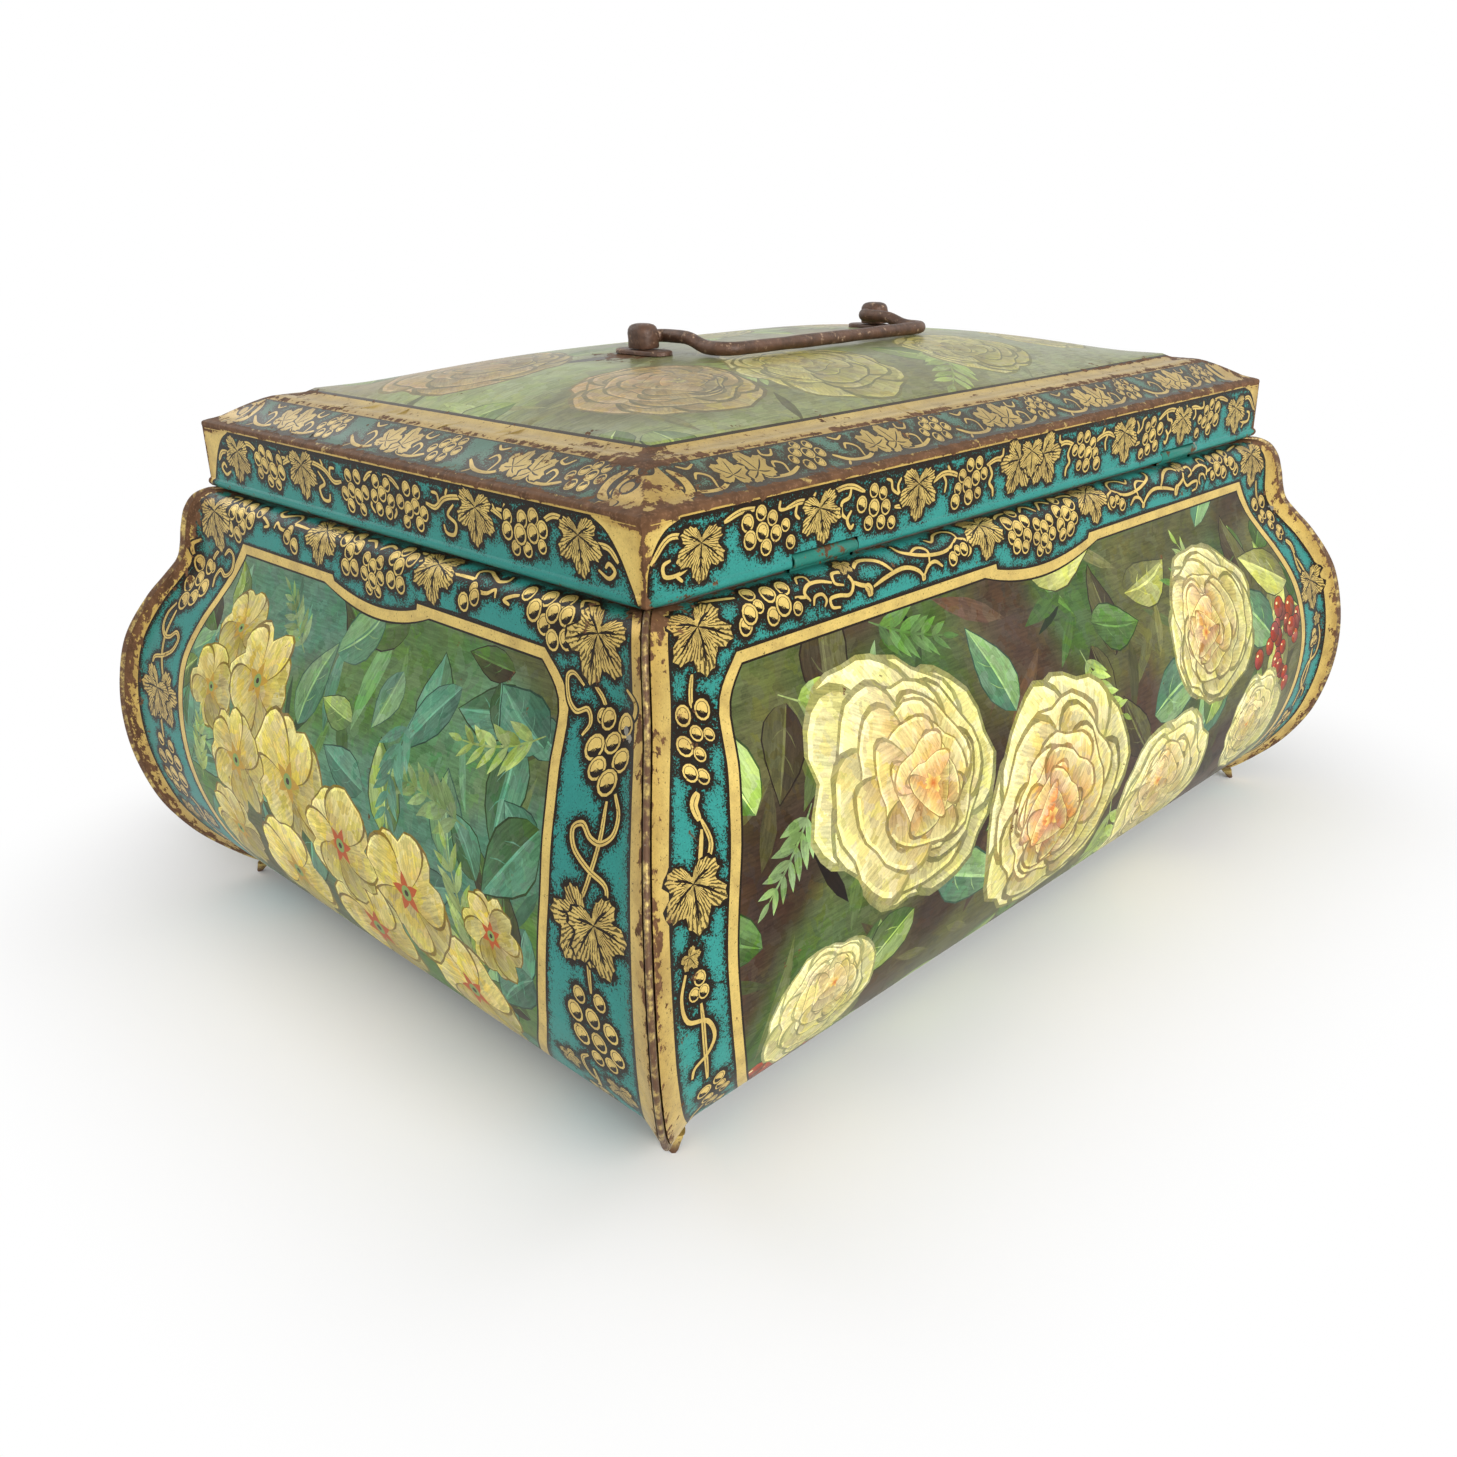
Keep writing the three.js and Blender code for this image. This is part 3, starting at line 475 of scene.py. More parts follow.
def ribbon(path, width, taper=0.0):
    """Outline of a stroke along a path, thinner towards its ends by the taper."""
    share = np.linspace(-1, 1, len(path))
    half = width / 2 * (1 - taper * share ** 4)
    return np.vstack([beside(path, half), beside(path, -half)[::-1]])


def placed(outline, at, turn=0.0, size=1.0):
    """An outline enlarged, turned by an angle in radians and moved."""
    c, s = math.cos(turn), math.sin(turn)
    return np.asarray(outline) * size @ np.array([[c, s], [-s, c]]) + at


def ellipse(radius, flatness=1.0, count=12):
    """An ellipse round 0, 0."""
    return circle(count) * [radius, radius * flatness]


def blade(width, fullness=1.0, count=9):
    """A leaf or petal from 0, 0 to 1, 0: its half width is a sine of the share raised to the fullness."""
    share = np.linspace(0, 1, count)
    half = width / 2 * np.sin(math.pi * share ** fullness)
    return np.vstack([np.column_stack([share, half]), np.column_stack([share, -half])[-2:0:-1]])


def petal(width, notch, phase, count=6):
    """A broad petal from 0, 0 to 1, 0: a narrow foot, a round end that waves, and a notch in its middle."""
    share = np.linspace(0, 1, count)
    half = width / 2 * np.sin(math.pi / 2 * share ** 0.8)
    reach = 0.62 * share
    angle = np.linspace(math.pi / 2, -math.pi / 2, 2 * count - 1)[1:-1]
    ragged = 1 + 0.07 * np.sin(3 * angle + phase) * np.cos(angle) + 0.04 * np.sin(7 * angle + 2 * phase)
    tip = np.column_stack([
        0.62 + (0.38 * ragged - notch * np.exp(-(angle / 0.3) ** 2)) * np.cos(angle),
        width / 2 * np.sin(angle),
    ])
    return np.vstack([np.column_stack([reach, half]), tip, np.column_stack([reach, -half])[:0:-1]])


def vine_leaf(margin=0.0, count=70):
    """A five-lobed leaf with its stalk at 0, 0: the blade's radius by angle, with saw teeth on it."""
    angle = np.linspace(-172, 172, count)
    radius = np.interp(np.abs(angle), LEAF_ANGLES, LEAF_RADII)
    teeth = 0.06 * ((np.arange(count) % 3) == 1) * (radius > 0.3)
    return around(np.radians(angle)) * (radius + teeth + margin)[:, None]


# Printed sheets

# Columns of a shape's ink
START_TINT, END_TINT, GILT, STREAK, VINE, FRAMED = slice(0, 3), slice(3, 6), 6, 7, 8, 9
ORIGIN, AXIS, INK_COLUMNS = slice(10, 12), slice(12, 14), 14

# Streak of a shape that is hatched; painted shapes have 1 and flat ones 0
HATCHED = 0.3


class Print:
    """Flat shapes in millimetres, each laid over those before it, with the ink of each.
    A shape's ink runs from one colour to another along its axis."""

    def __init__(self, ground):
        self.outlines = []
        self.inks = [[*ground, *ground, 0, 0, -1, 0, 0, 0, 1, 0]]
        self.window = None
        self.fields = {}

    def lay(self, outline, start, end=None, gilt=0, streak=0, vine=0, framed=0, origin=(0, 0), axis=(1, 0)):
        """Lays one shape. Framed shapes show only inside the window. Stipple on a ground, whose vine is -1,
        darkens towards the shapes whose vine is 1."""
        end = start if end is None else end
        self.outlines.append(np.asarray(outline, float))
        self.inks.append([*start, *end, gilt, streak, vine, framed, *origin, *axis])
        return len(self.outlines)

    def paint(self, outline, start, end, at, turn, size, base=0.0, streak=1):
        """Lays a painted shape that is drawn from 0, 0 to 1, 0. Its ink runs along it from its base."""
        way = heading(turn)
        origin, axis = at + base * size * way, way / (size * (1 - base))
        outline = placed(outline, at, turn, size)
        self.lay(outline, start, end, streak=streak, framed=1, origin=origin, axis=axis)

    def mirror(self, first):
        """Repeats the shapes from the first one on, on the other side of the middle."""
        flip = np.ones(INK_COLUMNS)
        flip[[ORIGIN.start, AXIS.start]] = -1
        for outline, ink in zip(self.outlines[first:], self.inks[first + 1:]):
            self.outlines.append(outline[::-1] * [-1, 1])
            self.inks.append(ink * flip)

    def take(self, part, moved, hatched=True):
        """Lays another print's shapes, moved by a function. Ink that isn't hatched lies flat."""
        for outline, ink in zip(part.outlines, np.array(part.inks[1:])):
            if hatched:
                ink[ORIGIN] = moved(ink[ORIGIN])
            else:
                ink[[STREAK, FRAMED]] = 0
                ink[ORIGIN], ink[AXIS] = (0, 0), (1, 0)
            self.outlines.append(moved(outline))
            self.inks.append(ink)


def dark_then_gold(size, c):
    """How gold bands are laid: a little wider in dark ink, then in gold."""
    return (size.ink_line, c.ink, {"vine": 1}), (0, c.gold, {"gilt": 1})


def lay_leaf(sheet, c, at, tip, size):
    """A gold vine leaf: dark halo, blade, and veins that branch on the larger leaves."""
    turn = math.radians(tip)
    sheet.lay(placed(vine_leaf(0.6 / size, 36), at, turn, size), c.ink, vine=1)
    blade_inks = dict(gilt=1, streak=HATCHED, origin=at, axis=heading(turn) / size)
    sheet.lay(placed(vine_leaf(), at, turn, size), c.gold, c.gold * 0.82, **blade_inks)
    for angle, reach in ((0, 0.82), (58, 0.72), (-58, 0.72), (112, 0.5), (-112, 0.5)):
        way = math.radians(angle)
        vein = smooth_curve([(0, 0), (reach * 0.5, 0.03 * np.sign(angle)), (reach, 0)], 3)
        sheet.lay(placed(ribbon(vein, 0.055, 0.8), at, turn + way, size), c.ink)
        if size < 6:
            continue
        for share, side in ((0.34, 26), (0.34, -26), (0.6, 30), (0.6, -30)):
            root = placed([(share * reach, 0)], (0, 0), way)[0]
            twig = ribbon(np.array([(0, 0), (reach * 0.12, 0), (reach * 0.26, 0)]), 0.035, 0.7)
            twig = placed(twig, root, math.radians(angle + side))
            sheet.lay(placed(twig, at, turn, size), c.ink)


def lay_bunch(sheet, c, grapes):
    """Gold grapes: dark halos, then for each a rim, a groove, a core, and a dark crescent under it."""
    tall = 1.1
    outer, inner = around(np.radians(np.linspace(-14, 140, 8))), around(np.radians(np.linspace(128, 0, 9)))
    for a, b, radius in grapes:
        sheet.lay(ellipse(radius + 0.45, tall, 10) + (a, b), c.ink, vine=1)
    for a, b, radius in grapes:
        sheet.lay(ellipse(radius * 1.04, tall) + (a, b), c.ink)
        sheet.lay(ellipse(radius * 0.93, tall) + (a, b), c.gold, gilt=1)
        sheet.lay(ellipse(radius * 0.72, tall) + (a, b), c.ink)
        sheet.lay(ellipse(radius * 0.64, tall) + (a, b - radius * 0.03), c.gold * 1.06, gilt=1)
        jag = np.where(np.arange(9) % 2, 0.08, 0.36) * radius
        crescent = np.vstack([outer * [1, tall] * radius * 0.66, inner * [1, tall] * jag[:, None]])
        sheet.lay(crescent + (a, b), c.ink)


def lay_vine(sheet, c, vine):
    """Gold stems and tendrils with dark halos, the broad ones lined, then bunches and leaves."""
    stems = [(smooth_curve(knots, 5), width) for width, knots in chain(vine.stems, vine.tendrils)]
    for path, width in stems:
        sheet.lay(ribbon(path, width + 0.8, 0.2), c.ink, vine=1)
    for path, width in stems:
        sheet.lay(ribbon(path, width, 0.45), c.gold, gilt=1)
        if width >= 0.9:
            sheet.lay(ribbon(path[1:-1], 0.14, 0.6), c.ink * 1.5)
    for bunch in vine.bunches:
        lay_bunch(sheet, c, bunch)
    for a, b, tip, size in vine.leaves:
        lay_leaf(sheet, c, np.array([a, b]), tip, size)


def mottled(colours, scale, seed):
    """A colour field: each colour weighs in by a sum of slow waves in random directions."""
    rng = np.random.default_rng(seed)
    waves = rng.normal(0, 1 / scale, (len(colours), 5, 2))
    phases = rng.uniform(0, 2 * math.pi, (len(colours), 5))

    def field(places):
        heights = np.sin(places @ waves.reshape(-1, 2).T + phases.ravel()).reshape(-1, *phases.shape).sum(-1)
        weights = np.exp(2.4 * heights)
        weights /= weights.sum(-1, keepdims=True)
        return weights @ np.array(colours)

    return field


def any_way(rng):
    """An angle in any direction."""
    return rng.uniform(0, 2 * math.pi)


def lay_strokes(sheet, rng, field, box, count, length_range, way, spread):
    """Loose brush strokes over a box, each about as light as the field is where it lies."""
    places = rng.uniform(*box, (count, 2))
    tints = np.clip(field(places) * np.abs(rng.normal(1.05, 0.45, (count, 1))), 0, 1)
    for at, tint in zip(places, tints):
        size = rng.uniform(*length_range)
        turn = way + rng.normal(0, spread)
        outline = blade(rng.uniform(0.12, 0.3), rng.uniform(0.7, 1.3), 5)
        sheet.paint(outline, tint, tint * rng.uniform(0.8, 1.25), at, turn, size)


def lay_foliage(sheet, rng, at, turn, size, dark, light):
    """A painted leaf: dark edge, two halves that catch the light differently, a pale midrib and veins."""
    width = rng.uniform(0.42, 0.6)
    bend = rng.normal(0, 0.18)
    tint = rng.uniform(0.75, 1.2)

    def lay(outline, start, end=None):
        lift = bend * outline[:, 0] * (1 - outline[:, 0])
        sheet.paint(np.column_stack([outline[:, 0], outline[:, 1] + lift]), start, end, at, turn, size)

    edge = blade(width, 0.75, 12)
    edge[1::2] *= [1, 1.04]
    lay(edge * [1.02, 1.07], dark * 0.45)
    lay(edge, dark * tint, (0.6 * dark + 0.4 * light) * tint)
    lay(edge[:12] * [1, rng.choice([-1, 1])], (0.45 * dark + 0.55 * light) * tint, light * tint)
    lay(ribbon(np.column_stack([np.linspace(0.02, 0.92, 5), np.zeros(5)]), 0.028, 0.8), light * 1.25)
    for share in (0.26, 0.52):
        for side in (-width, width):
            vein = np.array([(share, 0), (share + 0.07, side * 0.16), (share + 0.16, side * 0.28)])
            lay(ribbon(vein, 0.014, 0.8), light * 0.9)


def lay_spray(sheet, rng, at, turn, size, tint):
    """A spray of narrow leaflets in pairs along a bent stalk, shorter towards its tip."""
    bend = rng.normal(0, 0.25)
    share = np.linspace(0, 1, 8)
    stalk = placed(np.column_stack([share, bend * share ** 2]), at, turn, size)
    sheet.lay(ribbon(stalk, 0.5, 0.6), tint * 0.7, streak=1, framed=1)
    for k in range(1, 8):
        for side in (-1, 1) if k < 7 else (0,):
            way = turn + 2 * bend * share[k] + side * rng.uniform(0.5, 0.8)
            tone = tint * rng.uniform(0.7, 1.25)
            reach = size * (0.42 - 0.2 * share[k])
            sheet.paint(blade(0.3, 0.8, 6), tone * 0.65, np.minimum(tone, 1), stalk[k], way, reach)


def lay_berries(sheet, rng, c, at, spread, count):
    """Berries crowded round a place: each has a dark edge, a body lit from one side and a small glint."""
    for middle in rng.normal(at, spread, (count, 2)):
        radius = rng.uniform(1.8, 2.8)
        tint = c.russet * rng.uniform(0.8, 1.5)
        lit = dict(origin=middle - [0.6 * radius, -0.8 * radius], axis=np.array([0.6, -0.8]) / (2 * radius))
        sheet.lay(ellipse(radius * 1.1, 1.08) + middle, c.umber * 0.6, framed=1)
        sheet.lay(ellipse(radius, 1.08) + middle, tint * 0.5, tint * 1.6, streak=1, framed=1, **lit)
        glint = ellipse(radius * 0.22, 0.7, 8) + middle + [radius * 0.4, -radius * 0.45]
        sheet.lay(glint, c.cream, framed=1)


def lay_petal(sheet, rng, at, turn, size, width, foot, tip, shadow, notch=0.07, base=0.0, strokes=4):
    """A painted petal: its shadow, its body from foot to tip colour, brush strokes and a lit rolled edge."""
    where = (at, turn, size, base)
    shape = petal(width * rng.uniform(0.92, 1.08), notch * rng.uniform(0.2, 1.6), rng.uniform(0, 6))
    shape[:, 1] += 0.05 * np.sin(5 * shape[:, 0] + rng.uniform(0, 6))
    tone = rng.uniform(0.86, 1.06)
    sheet.paint(shape * [1.035, 1.1], shadow, None, *where)
    sheet.paint(shape, foot * tone, tip * tone, *where)
    for side in np.linspace(-0.34, 0.34, strokes) + rng.normal(0, 0.03, strokes):
        start = base + (1 - base) * rng.uniform(0.05, 0.4)
        stroke = blade(rng.uniform(0.05, 0.1), 1, 5) * [rng.uniform(0.3, 0.5) * (1 - base), 1]
        stroke = placed(stroke, (start, side * width * start), side * 0.5)
        shade = rng.choice([0.82, 0.9, 1.1])
        sheet.paint(stroke, foot * tone * shade, np.minimum(tip * tone * shade, 1), *where)
    outer = shape[6:15]
    rim = np.vstack([outer, (outer * [0.96, 0.93])[::-1]])
    sheet.paint(rim, np.minimum(tip * 1.1, 1), None, *where)


def lay_camellia(sheet, rng, c, at, radius, lean, pale):
    """A formal double bloom: six rings of broad petals, each ring smaller, turned and set a little off
    centre."""
    rings = ((1, 7), (0.82, 6), (0.64, 6), (0.48, 5), (0.33, 4), (0.2, 3))
    step = np.array(lean)
    shady = 0.35 * c.honey + 0.4 * c.lime + 0.05 * c.cream
    for k, (share, count) in enumerate(rings):
        depth = k / (len(rings) - 1)
        tip = c.cream * (1 - depth * 0.4) + c.peach * depth * 0.4
        outer_foot = 0.35 * c.cream + 0.35 * c.honey + 0.15 * c.lime
        inner_foot = 0.5 * c.peach + 0.5 * c.ember
        foot = outer_foot * (1 - depth) + inner_foot * depth
        foot = foot * (1 - pale) + pale * (0.75 * tip + 0.2 * c.lime)
        centre = at + step * k * radius * 0.05
        for turn in any_way(rng) + np.arange(count) * 2 * math.pi / count:
            size = radius * share * rng.uniform(0.92, 1.08)
            lit = (0.5 + 0.5 * math.cos(turn + 0.9)) ** 0.7
            lit_tip = tip * lit + (0.35 * tip + 0.65 * shady) * (1 - lit)
            lit_foot = foot * (0.55 + 0.45 * lit)
            tints = (lit_foot, lit_tip, 0.5 * lit_foot + 0.16 * c.green)
            width = 2 * math.pi / count * 1.25
            lay_petal(sheet, rng, centre, turn, size, width, *tints, base=0.45, strokes=1)
    for turn in rng.uniform(0, 2 * math.pi, 9):
        sheet.paint(blade(0.5, 0.6, 5), c.ember, c.yellow, centre, turn, radius * 0.1, streak=0)


def lay_primrose(sheet, rng, c, at, radius):
    """A single bloom: five or six notched petals round a small star, with an orange eye."""
    count = int(rng.integers(5, 7))
    turns = any_way(rng) + np.arange(count) * 2 * math.pi / count
    tone = rng.uniform(0.8, 1.1)
    for turn in turns:
        size = radius * rng.uniform(0.93, 1.05)
        lit = tone * (0.8 + 0.24 * math.cos(turn + 0.9))
        foot, tip = (0.55 * c.honey + 0.5 * c.yellow) * lit, (0.72 * c.yellow + 0.3 * c.cream) * lit
        tints = (foot, tip, 0.4 * c.honey + 0.12 * c.green)
        width = 2 * math.pi / count * 0.98
        lay_petal(sheet, rng, at, turn, size, width, *tints, notch=0.2, base=0.1, strokes=3)
    for turn in turns:
        sheet.lay(placed(blade(0.5, 0.7, 6), at, turn, radius * 0.34), c.ember * 0.9, c.honey, framed=1)
    sheet.lay(ellipse(radius * 0.12) + at, 0.5 * c.green + 0.4 * c.lime, framed=1)
    sheet.lay(ellipse(radius * 0.05) + at, c.umber, framed=1)


# Surfaces

class Section:
    """A section through the sheet: [out, height] points with the distance along it and outward normals,
    which are its slopes turned by a right angle. Its first points can be told to lie on an upright line."""

    def __init__(self, points, reach, upright=0):
        slope = np.gradient(points, reach, axis=0)
        slope[:upright] = (0, -1)
        slope = unit(slope)
        self.points, self.reach, self.normals = points, reach, np.column_stack([-slope[:, 1], slope[:, 0]])

    def at(self, reach):
        """Out, height, and the normal's parts out and up, at distances along the section."""
        return [np.interp(reach, self.reach, column) for column in (*self.points.T, *self.normals.T)]


def lid_half(size):
    """Half the lid's length and width."""
    return np.array([size.lid_length, size.lid_width]) / 2


def side_section(size):
    """The wall's section from the shoulder down, a smooth curve through the shares. Out is counted from the
    lid's outline."""
    start = [GAP - size.collar_inset, size.wall_height]
    points = smooth_curve(np.vstack([start, SIDE_SHARES * [size.belly, size.wall_height]]), 10)
    return Section(points, distances(points))


def standout(size, height):
    """How far a corner seam stands out of the walls at a height."""
    ramp = smoothstep((size.wall_height - height) / size.seam_ramp)
    return size.seam_top_standout + (size.seam_standout - size.seam_top_standout) * ramp


def dents(a, b, depth):
    """Shallow dents: the product of slow waves along and across."""
    return depth * (0.5 + 0.5 * np.sin(a / 17 + 1.3 * np.sin(b / 23)) * np.cos(b / 19 + 0.8 * np.sin(a / 31)))


def wall_end(size, half_span, down):
    """Distance of a wall's end from its middle, at distances down the wall: the end follows the section and
    leaves room for the folded seam in the diagonal plane."""
    return half_span + side_section(size).at(down)[0] - (size.seam_thickness / 2 + GAP) * math.sqrt(2)


def wall_surface(size, half_span, half_depth, quarter_turns):
    """A wall as a function of the distance along from its middle and down from its shoulder. It follows
    the side section, and its ends lift along the normal by the square of the share of the flare's width."""
    side = side_section(size)
    c, s = np.round(heading(quarter_turns * math.pi / 2))
    turn = np.array([[c, s, 0], [-s, c, 0], [0, 0, 1]])

    def surface(places, depth=0.0):
        a, b = places.T
        out, height, normal_out, normal_up = side.at(b)
        end = wall_end(size, half_span, b) - np.abs(a)
        lift = np.clip(1 - end / size.flare_width, 0, 1) ** 2
        push = lift * (standout(size, height) - size.seam_lip) - depth - dents(a, b, 0.12) * (1 - lift)
        along = np.sign(a) * (np.abs(a) + lift * normal_out * push)
        out, height = half_depth + out + normal_out * push, height + normal_up * push
        return np.column_stack([along, out, height]) @ turn

    return surface


def wall_outline(size, half_span, notches):
    """A wall laid flat: its ends follow the section, and the shoulder has a notch for each hinge leaf."""
    foot = side_section(size).reach[-1]
    down = np.append(np.arange(0, foot, 1.5), foot)
    right = np.column_stack([wall_end(size, half_span, down), down])
    left = right[::-1] * [-1, 1]
    top = [left[-1]]
    for middle, reach, depth in notches:
        top += [(middle - reach, 0), (middle - reach, depth), (middle + reach, depth), (middle + reach, 0)]
    top = resampled([*top, right[0]], 2.5)[1:-1]
    bottom = resampled([right[-1], left[0]], 2.5)[1:-1]
    return np.vstack([top, right, bottom, left])


def border_section(size):
    """Section of the lid from its turned-down edge inwards: [inset, height], and how much further its fold
    reaches than the lid's plan."""
    radius, drop = 0.7, 0.4
    fold = around(np.linspace(0, math.pi / 2, 7)) * [-radius, radius] + [radius, size.rim_height - radius]
    start = [0, size.rim_height - radius - drop]
    rise = smooth_curve(BORDER_SHARES * [size.border_width, size.border_rise] + [0, size.rim_height], 6)
    points = np.vstack([start, fold, rise[rise[:, 0] > radius * 1.2]])
    along = distances(points[:8])
    reach = np.concatenate([along, along[-1] + points[8:, 0] - points[7, 0]])
    return Section(points, reach), along[-1] - radius


def lid_surface(size):
    """The lid's top over a plan that is widened by the fold of its edge. From each edge inwards it follows
    the border's section, with mitred corners, then a dome that falls off with a power of each share."""
    half = lid_half(size)
    border, fold = border_section(size)
    dome_half = half - size.border_width

    def surface(places, depth=0.0):
        reach = half + fold - np.abs(places)
        across = np.argmin(reach, axis=1)
        rows = np.arange(len(places))
        near = reach[rows, across]
        inset, height, normal_in, normal_up = border.at(near)
        flat = near >= border.reach[-1]
        inset = np.where(flat, near - fold, inset - depth * normal_in)
        stretch = (half[1 - across] - inset) / np.maximum(half[1 - across] + fold - near, 1)
        plan = np.abs(places)
        plan[rows, across] = half[across] - inset
        plan[rows, 1 - across] *= np.where(flat, 1, stretch)
        share = np.clip(plan / dome_half, 0, 1)
        dome = size.dome_rise * (1 - share[:, 0] ** DOME_END_POWER) * (1 - share[:, 1] ** DOME_SIDE_POWER)
        foot = size.rim_height + size.border_rise
        height = np.where(flat, foot + dome - depth, height - depth * normal_up)
        height = height - dents(places[:, 0], places[:, 1], 0.1)
        return np.column_stack([plan * np.where(places < 0, -1, 1), height])

    return surface, half + fold, border.reach[-1]


def skirt_surface(size):
    """The skirt as a function of the distance round the lid, from its front left corner, and down from the
    rim and round its rolled edge. Each side stretches a little with the section, so that the corners stay
    mitred. Returned with the distances of the corners and the section."""
    start = math.acos(size.roll_inset / size.roll_radius)
    angle = np.linspace(start, start - math.pi * 14 / 9, 22)
    roll = size.roll_radius * around(angle) + [-size.roll_inset, size.roll_height]
    points = np.vstack([(0, size.rim_height - SKIRT_TOP), roll])
    section = Section(points, SKIRT_TOP + distances(points), upright=2)
    half, corners = lid_half(size), -CORNERS
    starts = distances(corners * half)

    def surface(places, depth=0.0):
        round_way, down = places.T
        out, height, normal_out, normal_up = section.at(down)
        out, height = out - normal_out * depth, height - normal_up * depth
        side = np.clip(np.searchsorted(starts, round_way, side="right") - 1, 0, 3)
        share = (round_way - starts[side]) / np.diff(starts)[side]
        grown = half + (out - dents(round_way, down * 4, 0.08))[:, None]
        first, second = corners[side] * grown, corners[side + 1] * grown
        return np.column_stack([first + (second - first) * share[:, None], height])

    return surface, starts, section


# Meshes

def within(points, outline):
    """Which points lie inside an outline: those with an odd number of its edges to their right."""
    x, y = points[:, :1], points[:, 1:]
    after = np.roll(outline, -1, axis=0)
    crossing = (outline[:, 1] > y) != (after[:, 1] > y)
    rise = np.where(after[:, 1] == outline[:, 1], 1, after[:, 1] - outline[:, 1])
    meets = outline[:, 0] + (y - outline[:, 1]) / rise * (after[:, 0] - outline[:, 0])
    return (crossing & (x < meets)).sum(axis=1) % 2 == 1


def staggered(low, high, spacing):
    """Points of a staggered grid over a box."""
    rows = np.arange(low[1] + spacing / 2, high[1], spacing * 0.87)
    columns = np.arange(low[0] + spacing / 3, high[0], spacing)
    grid = np.stack(np.meshgrid(columns, rows), -1)
    grid[1::2, :, 0] += spacing / 2
    return grid.reshape(-1, 2)


def triangulated(outline, creases, sheet, spacing):
    """Constrained Delaunay triangles over an outline. A print's shapes and the creases become edges, with a
    staggered grid between them that is coarser inside the print's window. Returns the places, the triangles
    inside the outline, and the topmost shape on each, where framed shapes show only inside the window."""
    parts = []
    for part in (outline, *sheet.outlines):
        clockwise = np.cross(part, np.roll(part, -1, axis=0)).sum() <= 0
        parts.append(part[::-1] if clockwise else part)
    low, high = outline.min(axis=0), outline.max(axis=0)
    grid = staggered(low, high, spacing)
    if sheet.window:
        window = sheet.outlines[sheet.window - 1]
        coarse = staggered(low, high, spacing * 2.4)
        grid = np.vstack([grid[~within(grid, window)], coarse[within(coarse, window)]])
    starts = np.cumsum([0, *map(len, parts), *map(len, creases)]).tolist()
    faces = [list(range(first, last)) for first, last in zip(starts, starts[1:len(parts) + 1])]
    runs = zip(starts[len(parts):], starts[len(parts) + 1:])
    edges = [(k, k + 1) for first, last in runs for k in range(first, last - 1)]
    points = np.vstack([*parts, *creases, grid])
    result = delaunay_2d_cdt([Vector(point) for point in points.tolist()], edges, faces, 0, 1e-5)

    covers = result[5]
    counts = np.fromiter(map(len, covers), int, len(covers))
    owners = np.repeat(np.arange(len(covers)), counts)
    shapes = np.fromiter(chain.from_iterable(covers), int, counts.sum())

    def covered(shape):
        mask = np.zeros(len(covers), bool)
        mask[owners[shapes == shape]] = True
        return mask

    allowed = np.array(sheet.inks)[shapes, FRAMED] == 0
    if sheet.window:
        allowed |= covered(sheet.window)[owners]
    top = np.zeros(len(covers), int)
    np.maximum.at(top, owners[allowed], shapes[allowed])
    inside = covered(0)
    used, triangles = np.unique(np.array(result[2])[inside], return_inverse=True)
    return np.array([point[:] for point in result[0]])[used], triangles.reshape(-1, 3), top[inside]


def faced(surface, places, triangles, depth, outward):
    """The points of a sheet, its triangles turned to face out of the box or into it, and their normals. The
    normals come from the surface's slopes at each triangle's corners, moved a little towards its middle so
    that a crease keeps its two sides."""
    points = surface(places, depth)
    corners = points[triangles]
    lying = np.cross(corners[:, 1] - corners[:, 0], corners[:, 2] - corners[:, 0])
    if outward * (lying * (corners.mean(axis=1) - BOX_MIDDLE)).sum() < 0:
        triangles, lying = triangles[:, ::-1], -lying
    corners = places[triangles]
    pulled_in = (0.93 * corners + 0.07 * corners.mean(axis=1, keepdims=True)).reshape(-1, 2)
    step = 0.02
    along, down = (
        surface(pulled_in + way, depth) - surface(pulled_in - way, depth)
        for way in np.array([[step, 0], [0, step]])
    )
    normals = unit(np.cross(along, down))
    if (np.repeat(lying, 3, axis=0) * normals).sum() < 0:
        normals = -normals
    return points, triangles, normals


def way_from(start, places, triangles, reach):
    """Distance from the starting vertices along the mesh's edges, up to a reach. Each pass hands it on to
    the neighbours, all at once."""
    way = np.where(start, 0.0, reach)
    following = triangles[:, [1, 2, 0]]
    first = np.concatenate([triangles, following]).ravel()
    second = np.concatenate([following, triangles]).ravel()
    step = np.linalg.norm(places[first] - places[second], axis=1)
    for _ in range(5):
        np.minimum.at(way, second, way[first] + step)
    return way


# Stipple round the vine: how far it reaches, and the distance over which it fades to a third
STIPPLE_REACH, STIPPLE_FADE = 6.0, 1.3


